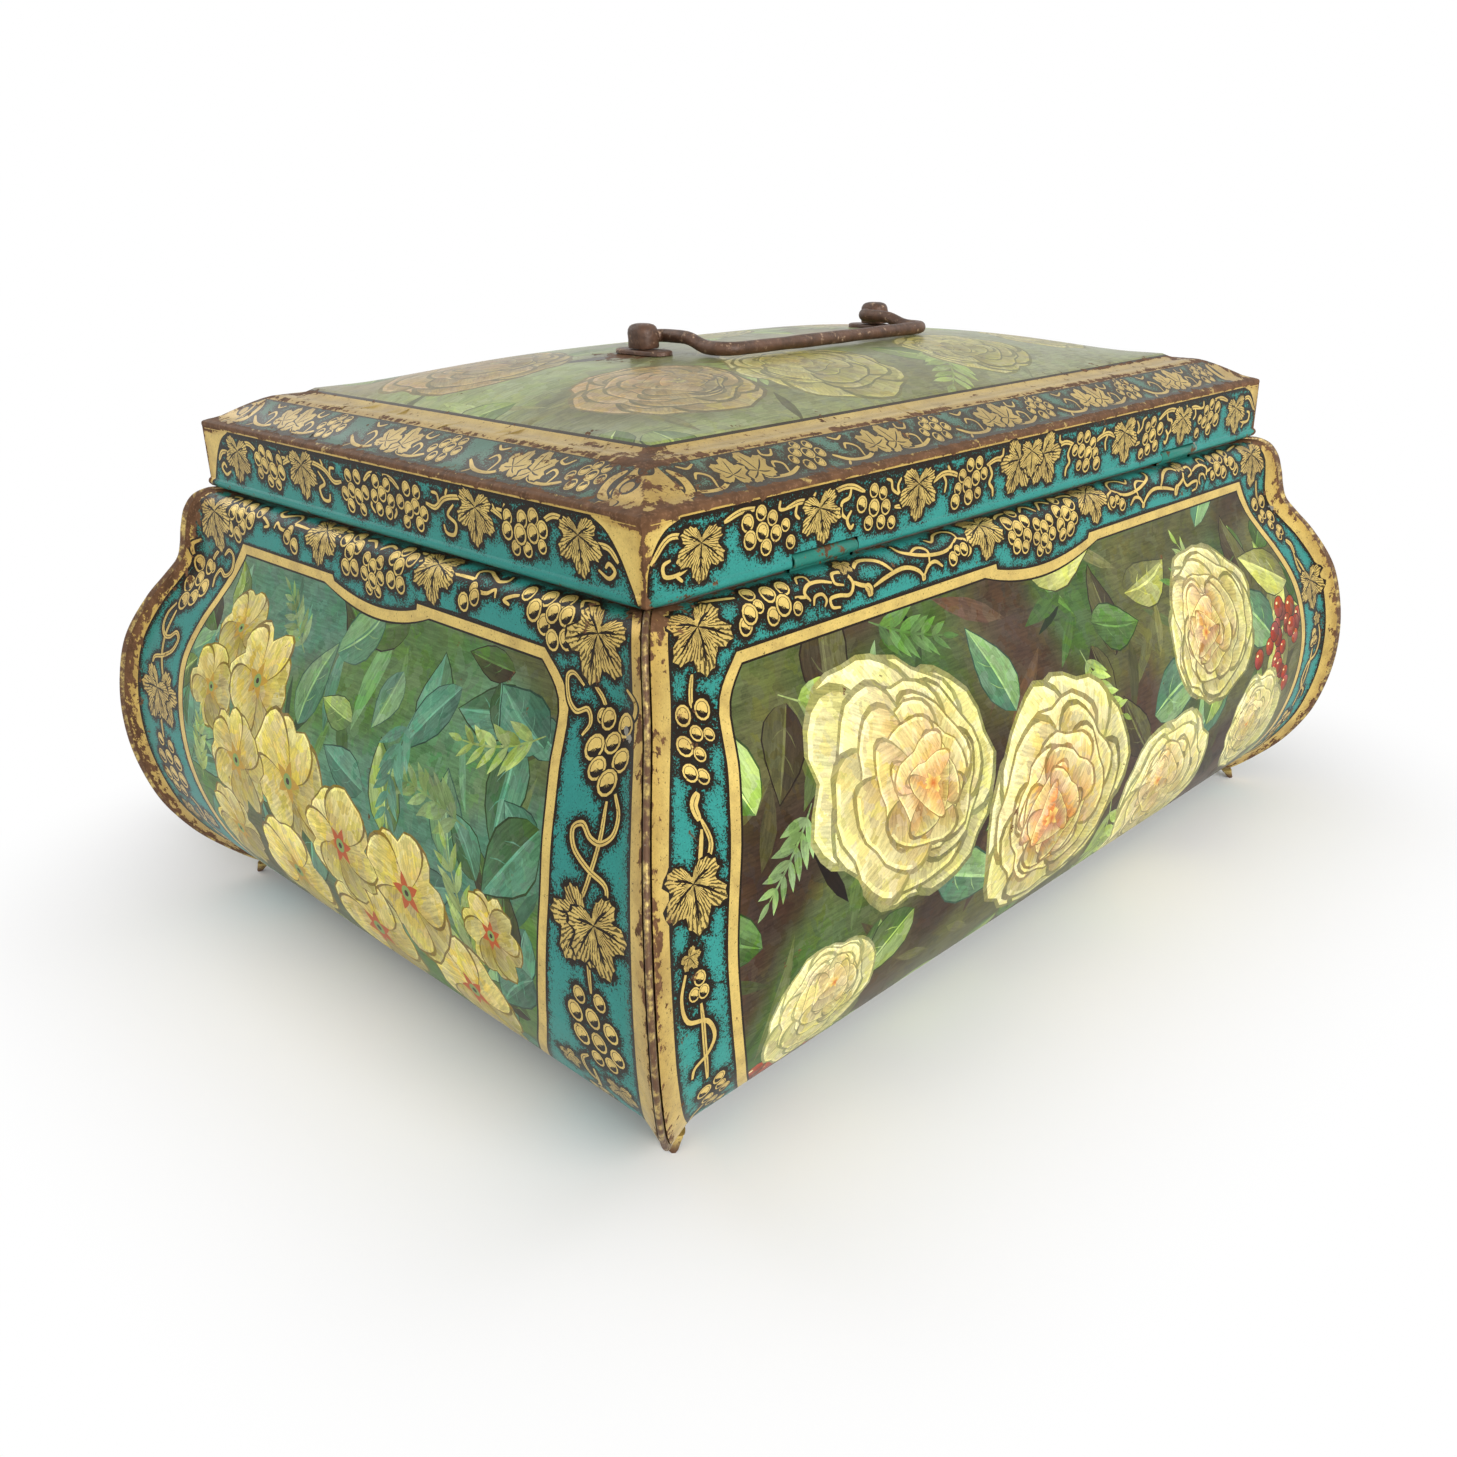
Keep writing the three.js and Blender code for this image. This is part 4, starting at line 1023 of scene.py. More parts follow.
def print_layers(sheet, places, triangles, top, wear):
    """What the printed tin's material reads at each corner: ink with its gilt, touch (stipple, wear, streak)
    and stroke (distance along the shape, across it, and a number of its own)."""
    corners = places[triangles].reshape(-1, 2)
    ink = np.array(sheet.inks)[top].repeat(3, axis=0)
    axis = ink[:, AXIS]
    offset = corners - ink[:, ORIGIN]
    share = np.clip((offset * axis).sum(axis=1), 0, 1)[:, None]
    tint = ink[:, START_TINT] * (1 - share) + ink[:, END_TINT] * share
    for shape, field in sheet.fields.items():
        here = np.repeat(top == shape, 3)
        tint[here] = field(corners[here])
    way = unit(axis)
    along, across = (offset * way).sum(axis=1), offset[:, 0] * way[:, 1] - offset[:, 1] * way[:, 0]
    on_vine = np.zeros(len(places), bool)
    on_vine[triangles[ink[::3, VINE] > 0]] = True
    gap = way_from(on_vine, places, triangles, STIPPLE_REACH)
    shade = np.exp(-gap[triangles].ravel() / STIPPLE_FADE) * (ink[:, VINE] < 0)
    return (
        np.column_stack([np.clip(tint, 0, 1), ink[:, GILT]]),
        np.column_stack([shade, wear(corners), ink[:, STREAK], np.ones(len(shade))]),
        np.column_stack([along, across, top.repeat(3) * 3.7]),
    )


def rim_of(triangles, count):
    """The edges that have a triangle on one side only, as pairs of vertices in their triangle's order, and
    the loop of vertices that they make."""
    directed = np.stack([triangles, np.roll(triangles, -1, axis=1)], -1).reshape(-1, 2)
    low, high = np.sort(directed, axis=1).T
    _, first, repeats = np.unique(low * count + high, return_index=True, return_counts=True)
    rim = directed[first[repeats == 1]]
    following = dict(rim.tolist())
    loop = [int(rim[0, 0])]
    while following[loop[-1]] != loop[0]:
        loop.append(following[loop[-1]])
    return rim, loop


# Layers of a printed mesh, and what they hold where it isn't printed
LAYERS = (
    ("ink", "FLOAT_COLOR", "color"), ("touch", "FLOAT_COLOR", "color"), ("stroke", "FLOAT_VECTOR", "vector"),
)
BARE_LAYERS = ((0.3, 0.25, 0.2, 0), (0, 1, 0, 1), (0, 0, 0))


def mesh_from(name, points, triangles, normals=None, finish=None, layers=()):
    """A smooth mesh in metres from arrays in millimetres, with its corner normals, materials and layers."""
    mesh = bpy.data.meshes.new(name)
    count = len(triangles)
    mesh.vertices.add(len(points))
    mesh.vertices.foreach_set("co", (np.asarray(points, np.float32) * MM).ravel())
    mesh.loops.add(count * 3)
    mesh.loops.foreach_set("vertex_index", np.asarray(triangles, np.int32).ravel())
    mesh.polygons.add(count)
    mesh.polygons.foreach_set("loop_start", np.arange(0, count * 3, 3, dtype=np.int32))
    mesh.polygons.foreach_set("use_smooth", np.ones(count, bool))
    if finish is not None:
        mesh.polygons.foreach_set("material_index", np.asarray(finish, np.int32))
    for (title, kind, key), values in zip(LAYERS, layers):
        layer = mesh.attributes.new(title, kind, "CORNER")
        layer.data.foreach_set(key, np.asarray(values, np.float32).ravel())
    mesh.update(calc_edges=True)
    if normals is not None:
        mesh.normals_split_custom_set(normals.tolist())
    return mesh


def printed_mesh(name, sheet, surface, outline, creases, wear, size):
    """A closed sheet of tin: the printed face, cut along every shape, a plain inner face, and the edge."""
    places, triangles, top = triangulated(outline, creases, sheet, size.print_mesh)
    points, triangles, normals = faced(surface, places, triangles, 0, 1)
    rim, loop = rim_of(triangles, len(places))
    inner_places, inner, _ = triangulated(places[loop], creases, Print((0, 0, 0)), 5)
    inner_points, inner, inner_normals = faced(surface, inner_places, inner, size.sheet, -1)

    # The edge joins each point of the rim to the point of the inner face at the same place
    lookup = {tuple(place): k for k, place in enumerate(np.round(inner_places, 3).tolist())}
    match = np.full(len(places), -1)
    match[loop] = [lookup[tuple(place)] for place in np.round(places[loop], 3).tolist()]
    i, j = rim.T
    start = len(points)
    inner_i, inner_j = start + match[i], start + match[j]
    edge = np.vstack([np.column_stack([j, i, inner_i]), np.column_stack([j, inner_i, inner_j])])
    whole = np.vstack([points, inner_points])
    corners = whole[edge]
    edge_normals = unit(np.cross(corners[:, 1] - corners[:, 0], corners[:, 2] - corners[:, 0]))

    bare = len(inner) + len(edge)
    layers = [
        np.vstack([layer, np.tile(plain, (bare * 3, 1))])
        for layer, plain in zip(print_layers(sheet, places, triangles, top, wear), BARE_LAYERS)
    ]
    finish = np.repeat([0, 1], [len(triangles), bare])
    normals = np.vstack([normals, inner_normals, edge_normals.repeat(3, axis=0)])
    return mesh_from(name, whole, np.vstack([triangles, inner + start, edge]), normals, finish, layers)


def stacked(plan, levels):
    """Rings of one plan: at each level it is stretched along x and y, and its middle moved to a place."""
    rings = []
    for stretch_x, stretch_y, x, y, z in levels:
        ring = plan * [stretch_x, stretch_y] + [x, y]
        rings.append(np.column_stack([ring, np.full(len(ring), z)]))
    return np.stack(rings)


def loft(rings):
    """Points and triangles of a solid through rings of points, its ends filled in."""
    rows, count = rings.shape[:2]
    ring = np.arange(count)
    beyond = (ring + 1) % count
    row = np.arange(rows - 1)[:, None] * count
    last = (rows - 1) * count
    points = np.vstack([rings.reshape(-1, 3), rings[0].mean(axis=0), rings[-1].mean(axis=0)])
    a, b, c, d = row + ring, row + beyond, row + count + ring, row + count + beyond
    triangles = np.vstack([
        np.stack([a, b, d], -1).reshape(-1, 3),
        np.stack([a, d, c], -1).reshape(-1, 3),
        np.column_stack([beyond, ring, np.full(count, rows * count)]),
        np.column_stack([last + ring, last + beyond, np.full(count, rows * count + 1)]),
    ])
    corners = points[triangles]
    if np.einsum("ij,ij->", corners[:, 0], np.cross(corners[:, 1], corners[:, 2])) < 0:
        triangles = triangles[:, ::-1]
    return points, triangles


def lofted_mesh(name, solids, crease_angle=35, layers=None):
    """A mesh of lofted solids, shaded smooth but for edges sharper than an angle in degrees. Its layers are
    given by a function of the places of its corners."""
    starts = np.cumsum([0] + [len(points) for points, _ in solids[:-1]])
    points = np.vstack([points for points, _ in solids])
    triangles = np.vstack([faces + start for (_, faces), start in zip(solids, starts)])
    values = layers(points[triangles].reshape(-1, 3)) if layers else ()
    mesh = mesh_from(name, points, triangles, layers=values)
    mesh.set_sharp_from_angle(angle=math.radians(crease_angle))
    return mesh


def piece(name, mesh, body, slot, materials, *replaces):
    """An object of that mesh, which rides on a body of the frame and stands for CAD nodes."""
    obj = bpy.data.objects.new(name, mesh)
    bpy.context.scene.collection.objects.link(obj)
    for material in materials:
        mesh.materials.append(material)
    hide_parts(*replaces)
    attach(obj, body)


# Materials

# Settings of the kinds of node that recur
PLUS, MINUS, TIMES, TIMES_PLUS = (
    {"operation": name} for name in ("ADD", "SUBTRACT", "MULTIPLY", "MULTIPLY_ADD")
)
STEP = {"interpolation_type": "SMOOTHSTEP"}
TINTS = {"data_type": "RGBA"}

# Colours of dust, scratches and handling. The dark dust grey also stands for the lid varnish's greyish sheen,
# a painted sheen.
PALE_DUST, DARK_DUST_AND_SHEEN, BARED_TIN, BROWN_FILM, RUBBED_IRON = (
    np.array(linear(code)) for code in ("BFB6A6", "7C735D", "CBC4B3", "CEBC9E", "AA8E73")
)


def fill(node, inputs):
    """Fills inputs of a node: an output of another node is linked, and a value or a colour is set."""
    for key, value in inputs.items():
        if isinstance(value, bpy.types.NodeSocket):
            node.id_data.links.new(value, node.inputs[key])
        else:
            node.inputs[key].default_value = (*value, 1) if isinstance(value, np.ndarray) else value


def add(tree, kind, inputs=(), output=None, **settings):
    """Adds a node with its settings and links. Inputs are given by name, or in the order of those in use. It
    gives the named output, or else the first one in use."""
    node = tree.nodes.new("ShaderNode" + kind)
    for key, value in settings.items():
        setattr(node, key, value)
    if not isinstance(inputs, dict):
        inputs = dict(zip([k for k, socket in enumerate(node.inputs) if socket.enabled], inputs))
    fill(node, inputs)
    return node.outputs[output] if output else next(socket for socket in node.outputs if socket.enabled)


def grain(millimetres):
    """Scale of a texture whose features are about so many millimetres across."""
    return 1 / (millimetres * MM)


def new_material(name):
    """A material, a way to add nodes to it, its shader, and the place of each point on the object."""
    material = bpy.data.materials.new(name)
    material.use_nodes = True
    node = partial(add, material.node_tree)
    return material, node, material.node_tree.nodes["Principled BSDF"], node("TexCoord", output="Object")


def seen_plainly(node):
    """1 for a ray of the camera, of gloss or through glass, and 0 for the rays that carry light."""
    path = node("LightPath").node.outputs
    other = node("Math", (path["Is Glossy Ray"], path["Is Transmission Ray"]), operation="MAXIMUM")
    return node("Math", (path["Is Camera Ray"], other), operation="MAXIMUM")


def rust_mask(node, place, wear):
    """Where rust has broken through: blotchy noise in three sizes, raised by the wear."""
    broad = node("TexNoise", (place, grain(9), 4, 0.6))
    blots = node("TexNoise", (place, grain(2.6), 5, 0.62))
    fine = node("TexNoise", (place, grain(0.6), 3, 0.6))
    total = node("Math", (broad, 0.5, node("Math", (fine, 0.22), **TIMES)), **TIMES_PLUS)
    total = node("Math", (blots, 0.9, total), **TIMES_PLUS)
    return node("MapRange", (node("Math", (wear, 0.62, total), **TIMES_PLUS), 1.0146, 1.0646), **STEP)


def rust_colour(node, place, c):
    """Rust brown, from dark scale to tan dust."""
    fine = node("TexNoise", (place, grain(0.8), 4, 0.65))
    broad = node("TexNoise", (place, grain(4), 3, 0.55))
    dark = node("Mix", (node("MapRange", (broad, 0.3, 0.7), **STEP), c.rust * 0.62, c.rust * 1.15), **TINTS)
    dust = np.minimum(c.rust * 1.6 + 0.015, 1)
    return node("Mix", (node("MapRange", (fine, 0.5, 0.75), **STEP), dark, dust), **TINTS)


def lithographed_tin(name, c, dust_and_painted_sheen, sheen):
    """Lithographed tinplate: opaque inks and gold on a tin sheet under clear stoving varnish. The print is
    crisp, grainy close up, and rubbed through to rust on folds. The varnish gives an even gloss."""
    material, node, shader, place = new_material(name)
    ink = node("Attribute", attribute_name="ink").node.outputs
    gilt = ink["Alpha"]
    stroke = node("Attribute", output="Vector", attribute_name="stroke")
    touch = node("Attribute", attribute_name="touch")
    shade, wear, streak = node("SeparateColor", (touch,)).node.outputs
    painted = node("Math", (streak, 0.5), operation="GREATER_THAN")

    def swing(value, *by):
        """How far a value is from 0.5, times an amount, and added to a middle if there is one."""
        return node("Math", (node("Math", (value, 0.5), **MINUS), *by), **(TIMES_PLUS if by[1:] else TIMES))

    def on_paint(amount):
        return node("Math", (painted, amount), **TIMES)

    # Brush streaks along each painted shape, 0.5 mm across and several long
    drawn = node("Mapping", {"Vector": stroke, "Scale": (0.22, 1.9, 1)})
    brush = swing(node("TexNoise", (drawn, 1, 4, 0.6, 2, 0.4)), on_paint(1.4))
    # Dabs of about 2.5 mm, each a little lighter, darker, warmer or cooler than its neighbours
    wander = node("TexNoise", (place, grain(2.4), 2), output="Color")
    wander = node("VectorMath", (wander, (5 * MM,) * 3, place), **TIMES_PLUS)
    dabs = node("TexVoronoi", {"Vector": wander, "Scale": grain(2.6)}, output="Color")
    dabs = node("SeparateColor", (dabs,)).node.outputs
    lighter = swing(dabs[0], on_paint(0.34))
    warmer = swing(dabs[1], on_paint(0.022), 0.5)
    richer = swing(dabs[2], on_paint(0.3), 1)
    # Litho grain of 0.35 mm, ageing in patches of 14 mm
    grains = swing(node("TexNoise", (place, grain(0.35), 2, 0.7)), 0.5)
    age = swing(node("TexNoise", (place, grain(14), 3, 0.55)), 0.35)
    value = node("Math", (node("Math", (brush, lighter), **PLUS), 1), **PLUS)
    value = node("Math", (value, node("Math", (grains, age), **PLUS)), **PLUS)
    tint = node("HueSaturation", {"Color": ink["Color"], "Hue": warmer, "Saturation": richer, "Value": value})

    # Stipple: dark dots of 0.4 mm that crowd together towards the vine
    dots = node("TexNoise", (place, grain(0.34), 2, 0.8))
    worms = node("TexNoise", (place, grain(1.1), 2, 0.6, 2, 1))
    crowd = node("Math", (dots, 2, node("Math", (worms, 0.3), **TIMES)), **TIMES_PLUS)
    crowd = node("Math", (shade, 0.75, crowd), **TIMES_PLUS)
    ground = node("Math", (shade, 0.004), operation="GREATER_THAN")
    stippled = node("Math", (node("MapRange", (crowd, 1.46, 1.72), **STEP), ground), **TIMES)
    tint = node("Mix", (stippled, tint, c.ink), **TINTS)

    # Engraved hatching on the vine leaves: dark lines that fan out from the stalk, broken up by noise
    fan = node("SeparateXYZ", (stroke,)).node.outputs
    angle = node("Math", (fan[1], fan[0]), operation="ARCTAN2")
    broken = node("TexNoise", (place, grain(1.3), 3, 0.6, 2, 0.5))
    wave = node("Math", (angle, 46, node("Math", (broken, 9), **TIMES)), **TIMES_PLUS)
    cut = node("Math", (node("Math", (wave,), operation="SINE"), swing(broken, 5)), **PLUS)
    hatched = node("Math", (streak, HATCHED, 0.05), operation="COMPARE")
    engraved = node("Math", (node("MapRange", (cut, 0, 0.5), **STEP), hatched), **TIMES)
    reach = node("VectorMath", (stroke,), operation="LENGTH")
    engraved = node("Math", (engraved, node("MapRange", (reach, 0.6, 2.2), **STEP)), **TIMES)

    # Gold: warmer and darker in patches, with dark pinholes
    patches = node("MapRange", (node("TexNoise", (place, grain(5), 4, 0.6)), 0.4, 0.7), **STEP)
    gold = node("Mix", (patches, tint, node("Mix", (0.3, tint, c.rust * 1.3), **TINTS)), **TINTS)
    pinholes = node("MapRange", (node("TexNoise", (place, grain(0.5), 2, 0.8)), 0.63, 0.7), **STEP)
    gold = node("Mix", (node("Math", (pinholes, 0.8), **TIMES), gold, c.ink), **TINTS)
    gold = node("Mix", (node("Math", (engraved, 0.85), **TIMES), gold, c.ink), **TINTS)
    tint = node("Mix", (gilt, tint, gold), **TINTS)

    # Dulling by dust, scuffs and scratches. On the lid the grey dulling is partly dust and partly a painted
    # sheen of the varnish.
    scuffs = node("MapRange", (node("TexNoise", (place, grain(6), 5, 0.7, 2, 0.6)), 0.5, 0.72), **STEP)
    tint = node("Mix", (node("Math", (scuffs, dust_and_painted_sheen * 0.5), **TIMES), tint, PALE_DUST), **TINTS)
    tint = node("Mix", (dust_and_painted_sheen, tint, DARK_DUST_AND_SHEEN), **TINTS)
    along = node("Mapping", {"Vector": place, "Rotation": (0.3, 0.5, 0.9), "Scale": (1, 14, 1)})
    scratch = node("MapRange", (node("TexNoise", (along, grain(9), 5, 0.75)), 0.73, 0.76), **STEP)
    tint = node("Mix", (node("Math", (scratch, 0.5), **TIMES), tint, BARED_TIN), **TINTS)

    # Brown film that has gathered where the tin is handled and folded
    film = node("Math", (node("TexNoise", (place, grain(8), 4, 0.6)), 0.3, wear), **TIMES_PLUS)
    film = node("Math", (node("MapRange", (film, 0.12, 0.5), **STEP), 0.6), **TIMES)
    tint = node("Mix", (film, tint, BROWN_FILM), **TINTS, blend_type="MULTIPLY")

    rust = rust_mask(node, place, wear)
    whole = node("Math", (1, rust), **MINUS)
    rough = node("Math", (scuffs, 0.1, 0.33), **TIMES_PLUS)
    pits = node("Math", (node("TexNoise", (place, grain(0.7), 4, 0.55)), 0.9), **MINUS)
    waves = node("Math", (node("TexNoise", (place, grain(3), 2, 0.55)), 0.25), **TIMES)
    relief = node("Math", (rust, pits, waves), **TIMES_PLUS)
    fill(shader, {
        "Base Color": node("Mix", (rust, tint, rust_colour(node, place, c)), **TINTS),
        "Metallic": node("Math", (node("Math", (gilt, 0.42), **TIMES), whole), **TIMES),
        "Roughness": node("Math", (rust, 0.42, rough), **TIMES_PLUS),
        "Normal": node("Bump", {"Strength": 0.35, "Distance": 0.12 * MM, "Height": relief}),
        "Specular IOR Level": 0.1,
        "Coat Weight": sheen,
        "Coat Roughness": 0.16,
    })
    return material


def seam_metal(name, c):
    """Folded tinplate edge: gold lacquer worn to tin and brown rust along the ridge, with small glints."""
    material, node, shader, place = new_material(name)
    patches = node("TexNoise", (place, grain(2.2), 5, 0.65))
    # The toes, below 6 mm, keep more of the lacquer, but not at their tips
    height = node("SeparateXYZ", (place,), output="Z")
    low = node("MapRange", (height, 7 * MM, 4 * MM), **STEP)
    lacquer = node("MapRange", (node("Math", (low, 0.2, patches), **TIMES_PLUS), 0.46, 0.66), **STEP)
    lacquer = node("Math", (lacquer, node("MapRange", (height, 0.5 * MM, 3 * MM), **STEP)), **TIMES)
    worn = node("Mix", (lacquer, c.rust * 0.85, c.gold * 0.75), **TINTS)
    rubbed = node("MapRange", (node("TexNoise", (place, grain(0.7), 4, 0.7)), 0.5, 0.66), **STEP)
    tint = node("Mix", (node("Math", (rubbed, 0.8), **TIMES), worn, c.rust * 0.7), **TINTS)
    glint = node("MapRange", (node("TexNoise", (place, grain(0.5), 2, 0.8)), 0.68, 0.74), **STEP)
    relief = node("TexNoise", (place, grain(0.6), 4, 0.55))
    fill(shader, {
        "Base Color": node("Mix", (glint, tint, c.tin * 1.5), **TINTS),
        "Metallic": node("Math", (glint, 0.5, 0.35), **TIMES_PLUS),
        "Roughness": node("MapRange", (patches, 0.4, 0.6, 0.62, 0.4), **STEP),
        "Normal": node("Bump", {"Strength": 0.6, "Distance": 0.1 * MM, "Height": relief}),
    })
    return material


def bare_tin(name, c):
    """Unprinted tinplate: dull grey with a faint spangle, rolling lines and freckles of rust."""
    material, node, shader, place = new_material(name)
    spangle = node("TexNoise", (place, grain(5), 4, 0.6))
    lines = node("Mapping", {"Vector": place, "Scale": (1, 12, 12)})
    rolled = node("MapRange", (node("TexNoise", (lines, grain(8), 3, 0.55)), 0.5, 0.7, 0, 0.35), **STEP)
    tint = node("Mix", (node("MapRange", (spangle, 0.35, 0.65), **STEP), c.tin * 0.72, c.tin), **TINTS)
    tint = node("Mix", (rolled, tint, c.tin * 1.25), **TINTS)
    freckles = node("TexNoise", (place, grain(1.4), 5, 0.7))
    rust = node("Math", (freckles, 0.7, node("Math", (spangle, 0.4), **TIMES)), **TIMES_PLUS)
    rust = node("MapRange", (rust, 0.62, 0.7), **STEP)
    fill(shader, {
        "Base Color": node("Mix", (rust, tint, rust_colour(node, place, c)), **TINTS),
        "Metallic": node("MapRange", (rust, 0, 1, 0.75, 0.1), **STEP),
        "Roughness": node("MapRange", (rust, 0, 1, 0.42, 0.8), **STEP),
        "Normal": node("Bump", {"Strength": 0.3, "Distance": 0.08 * MM, "Height": spangle}),
    })
    return material


def rusted_iron(name, c):
    """Rusted iron wire and castings: dark brown scale, pitted, worn smoother and tan where hands rub it."""
    material, node, shader, place = new_material(name)
    broad = node("TexNoise", (place, grain(3.4), 4, 0.6))
    pits = node("TexNoise", (place, grain(0.45), 4, 0.7))
    rubbed = node("MapRange", (node("TexNoise", (place, grain(1.8), 5, 0.7)), 0.57, 0.7), **STEP)
    tint = node("Mix", (node("MapRange", (broad, 0.35, 0.65), **STEP), c.iron * 0.62, c.iron * 1.15), **TINTS)
    tint = node("Mix", (node("MapRange", (pits, 0.56, 0.74), **STEP), tint, c.rust * 1.35), **TINTS)
    lumps = node("Math", (node("TexNoise", (place, grain(1.4), 3, 0.55)), 0.8), **TIMES)
    relief = node("Math", (pits, 0.6, lumps), **TIMES_PLUS)
    fill(shader, {
        "Base Color": node("Mix", (rubbed, tint, RUBBED_IRON), **TINTS),
        "Metallic": 0.3,
        "Roughness": node("MapRange", (pits, 0.3, 0.7, 0.34, 0.6), **STEP),
        "Normal": node("Bump", {"Strength": 0.8, "Distance": 0.18 * MM, "Height": relief}),
    })
    return material


# Each finish: what it is made by, its name, its dulling (dust and a painted sheen) and the sheen of its coat
FINISHES = {
    "wall": (lithographed_tin, "Lithographed tinplate", 0.0, 0.04),
    "lid": (lithographed_tin, "Rubbed lithographed tinplate", 0.16, 0.14),
    "seam": (seam_metal, "Worn folded tin edge"),
    "tin": (bare_tin, "Dull unprinted tinplate"),
    "iron": (rusted_iron, "Rusted iron"),
}


def finishes_of(scene, *keys):
    """The materials of some finishes, each made the first time that it is asked for."""
    found = []
    for maker, name, *amounts in (FINISHES[key] for key in keys):
        found.append(bpy.data.materials.get(name) or maker(name, colours_of(scene), *amounts))
    return found


# The walls' print

# Distances down the wall of the frame's top line, and of the outer and the inner edge of its swag
FRAME_TOP, SWAG_OUTER, SWAG_INNER = 13.8, 16.3, 18.5

# Grapes in the middle of a wall's top and of the skirt's short sides: distance along, distance down, radius
WALL_GRAPES = [(2.4, 7.2, 1.5), (-2.4, 7.2, 1.5), (0, 8.4, 1.7), (3, 10.2, 1.5), (-3, 10.2, 1.5),
               (1.6, 13, 1.4), (-1.6, 13, 1.4), (0, 11.2, 1.7)]
SKIRT_GRAPES = [(-2, 4.6, 1.4), (2, 4.8, 1.4), (0, 6.8, 1.6), (-3, 7.6, 1.4), (3, 7.8, 1.4), (-1.6, 10, 1.4),
                (1.8, 10.2, 1.4)]

# Blooms of the pictures: distance along, distance down, radius, and for the double ones lean and paleness
LONG_BLOOMS = ((-86, 78, 15, (1, 0), 0.8), (88, 82, 14, (-1, -1), 0.8), (62, 46, 25, (-1, 0.4), 0.35),
               (-38, 84, 22, (0.6, -1), 0.6), (12, 66, 27, (0.5, 0.6), 0), (-60, 44, 21, (1, 0.3), 0.25))
SHORT_BLOOMS = ((-54, 66, 9), (48, 31, 9), (-42, 84, 13), (34, 40, 13), (54, 46, 10), (-26, 68, 14),
                (18, 58, 15), (42, 60, 13), (-8, 84, 15), (24, 82, 14), (50, 80, 11), (-2, 66, 13))
LID_BLOOMS = ((66, -26, 21, (-1, 0), 0.3, "dusk"), (62, 30, 19, (-1, 0), 0.5, "dusk"),
              (-55, -18, 24, (1, 0.5), 0.2, "veil"), (2, -32, 21, (0, 1), 0.6, "straw"),
              (-28, 38, 17, (1, -1), 0.7, "straw"), (24, 36, 20, (0, -1), 0.4, "straw"),
              (-66, 32, 14, (0, -1), 0.5, "straw"))

# The gold line along the skirt's top, and how far down its spandrels start
SKIRT_LINE = (0.4, 1.5)
SPANDREL_TOP = 0.8

# Insets of what is printed on the lid's top, from its border's outer line to the box of its picture
OUTER_LINE, BORDER_GROUND, STEP_LINE, STEP_GOLD, INNER_LINE, PICTURE_EDGE = 1.3, 1.7, 10.2, 10.5, 17.7, 18.4
PICTURE_BOX = 18

# Length of a corner scroll, and how far its first repeat of the vine starts past it
SCROLL_LENGTH, VINE_START = 14, 3


def frame_edges(size, vine, grow):
    """Outer and inner edge of half the gold frame, from the middle of its top round to the middle of its
    foot. The top dips in the middle to a swag, with a small step at its end. Grow widens the frame both
    ways."""
    half = size.frame_line / 2 + grow
    side = smooth_curve([(vine.frame_corner, FRAME_TOP), *vine.frame_side], 4)
    foot = [(vine.frame_side[-1][0] - 4, vine.frame_foot), (0, vine.frame_foot)]
    path = np.vstack([(vine.swag + 4, FRAME_TOP), side, foot])
    outer, inner = beside(path, half), beside(path, -half)
    outer[-1, 0] = inner[-1, 0] = 0
    share = np.linspace(0, 1, 9)[:, None]
    outer_dip = np.hstack([share * (vine.swag - grow), SWAG_OUTER - grow - 2.3 * share ** 2])
    rise = SWAG_INNER - FRAME_TOP - size.frame_line / 2
    inner_dip = np.hstack([share * (vine.swag + 4.2 - grow), SWAG_INNER + grow - rise * share ** 2])
    step = (vine.swag + 0.4 - grow, FRAME_TOP - half)
    return np.vstack([outer_dip, step, outer[1:]]), np.vstack([inner_dip, inner[1:]])


def wall_print(size, c, vine, half_span, seed, picture):
    """The print of a wall: teal ground with the vine, gold bands along the ends, and a framed picture."""
    sheet = Print(c.teal)
    inner = frame_edges(size, vine, 0)[1]
    sheet.window = sheet.lay(np.vstack([inner, (inner * [-1, 1])[-2:0:-1]]), c.olive, streak=1)
    high = inner.max(axis=0)
    picture(sheet, np.random.default_rng(seed), c, (np.array([-high[0], inner[:, 1].min()]), high))
    mark = len(sheet.outlines)
    down = np.linspace(0, side_section(size).reach[-1], 60)
    end = wall_end(size, half_span, down)
    band = np.interp(down, *np.array(vine.edge).T)
    for grow, tint, options in dark_then_gold(size, c):
        outer, inner = frame_edges(size, vine, grow)
        sheet.lay(np.vstack([outer, inner[::-1]]), tint, **options)
        strip = [np.column_stack([end + 1, down]), np.column_stack([end - band - grow, down])[::-1]]
        sheet.lay(np.vstack(strip), tint, **options)
    lay_vine(sheet, c, vine)
    sheet.mirror(mark)
    lay_bunch(sheet, c, WALL_GRAPES)
    return sheet


def lay_growth(sheet, rng, box, field, strokes, leaves, sprays):
    """The ground of a picture: its colour field, loose strokes, leaves and sprays. Leaves are given by their
    number, a function that picks their two tones, one that picks their way, and their range of sizes. Sprays
    are given by their number, tints and range of sizes."""
    sheet.fields[sheet.window] = field
    lay_strokes(sheet, rng, field, box, *strokes)
    count, tones_of, way_of, sizes = leaves
    for k in range(count):
        tones = tones_of(k)
        lay_foliage(sheet, rng, rng.uniform(*box), way_of(rng), rng.uniform(*sizes), *tones)
    count, tints, sizes = sprays
    for k in range(count):
        lay_spray(sheet, rng, rng.uniform(*box), any_way(rng), rng.uniform(*sizes), tints[k % len(tints)])


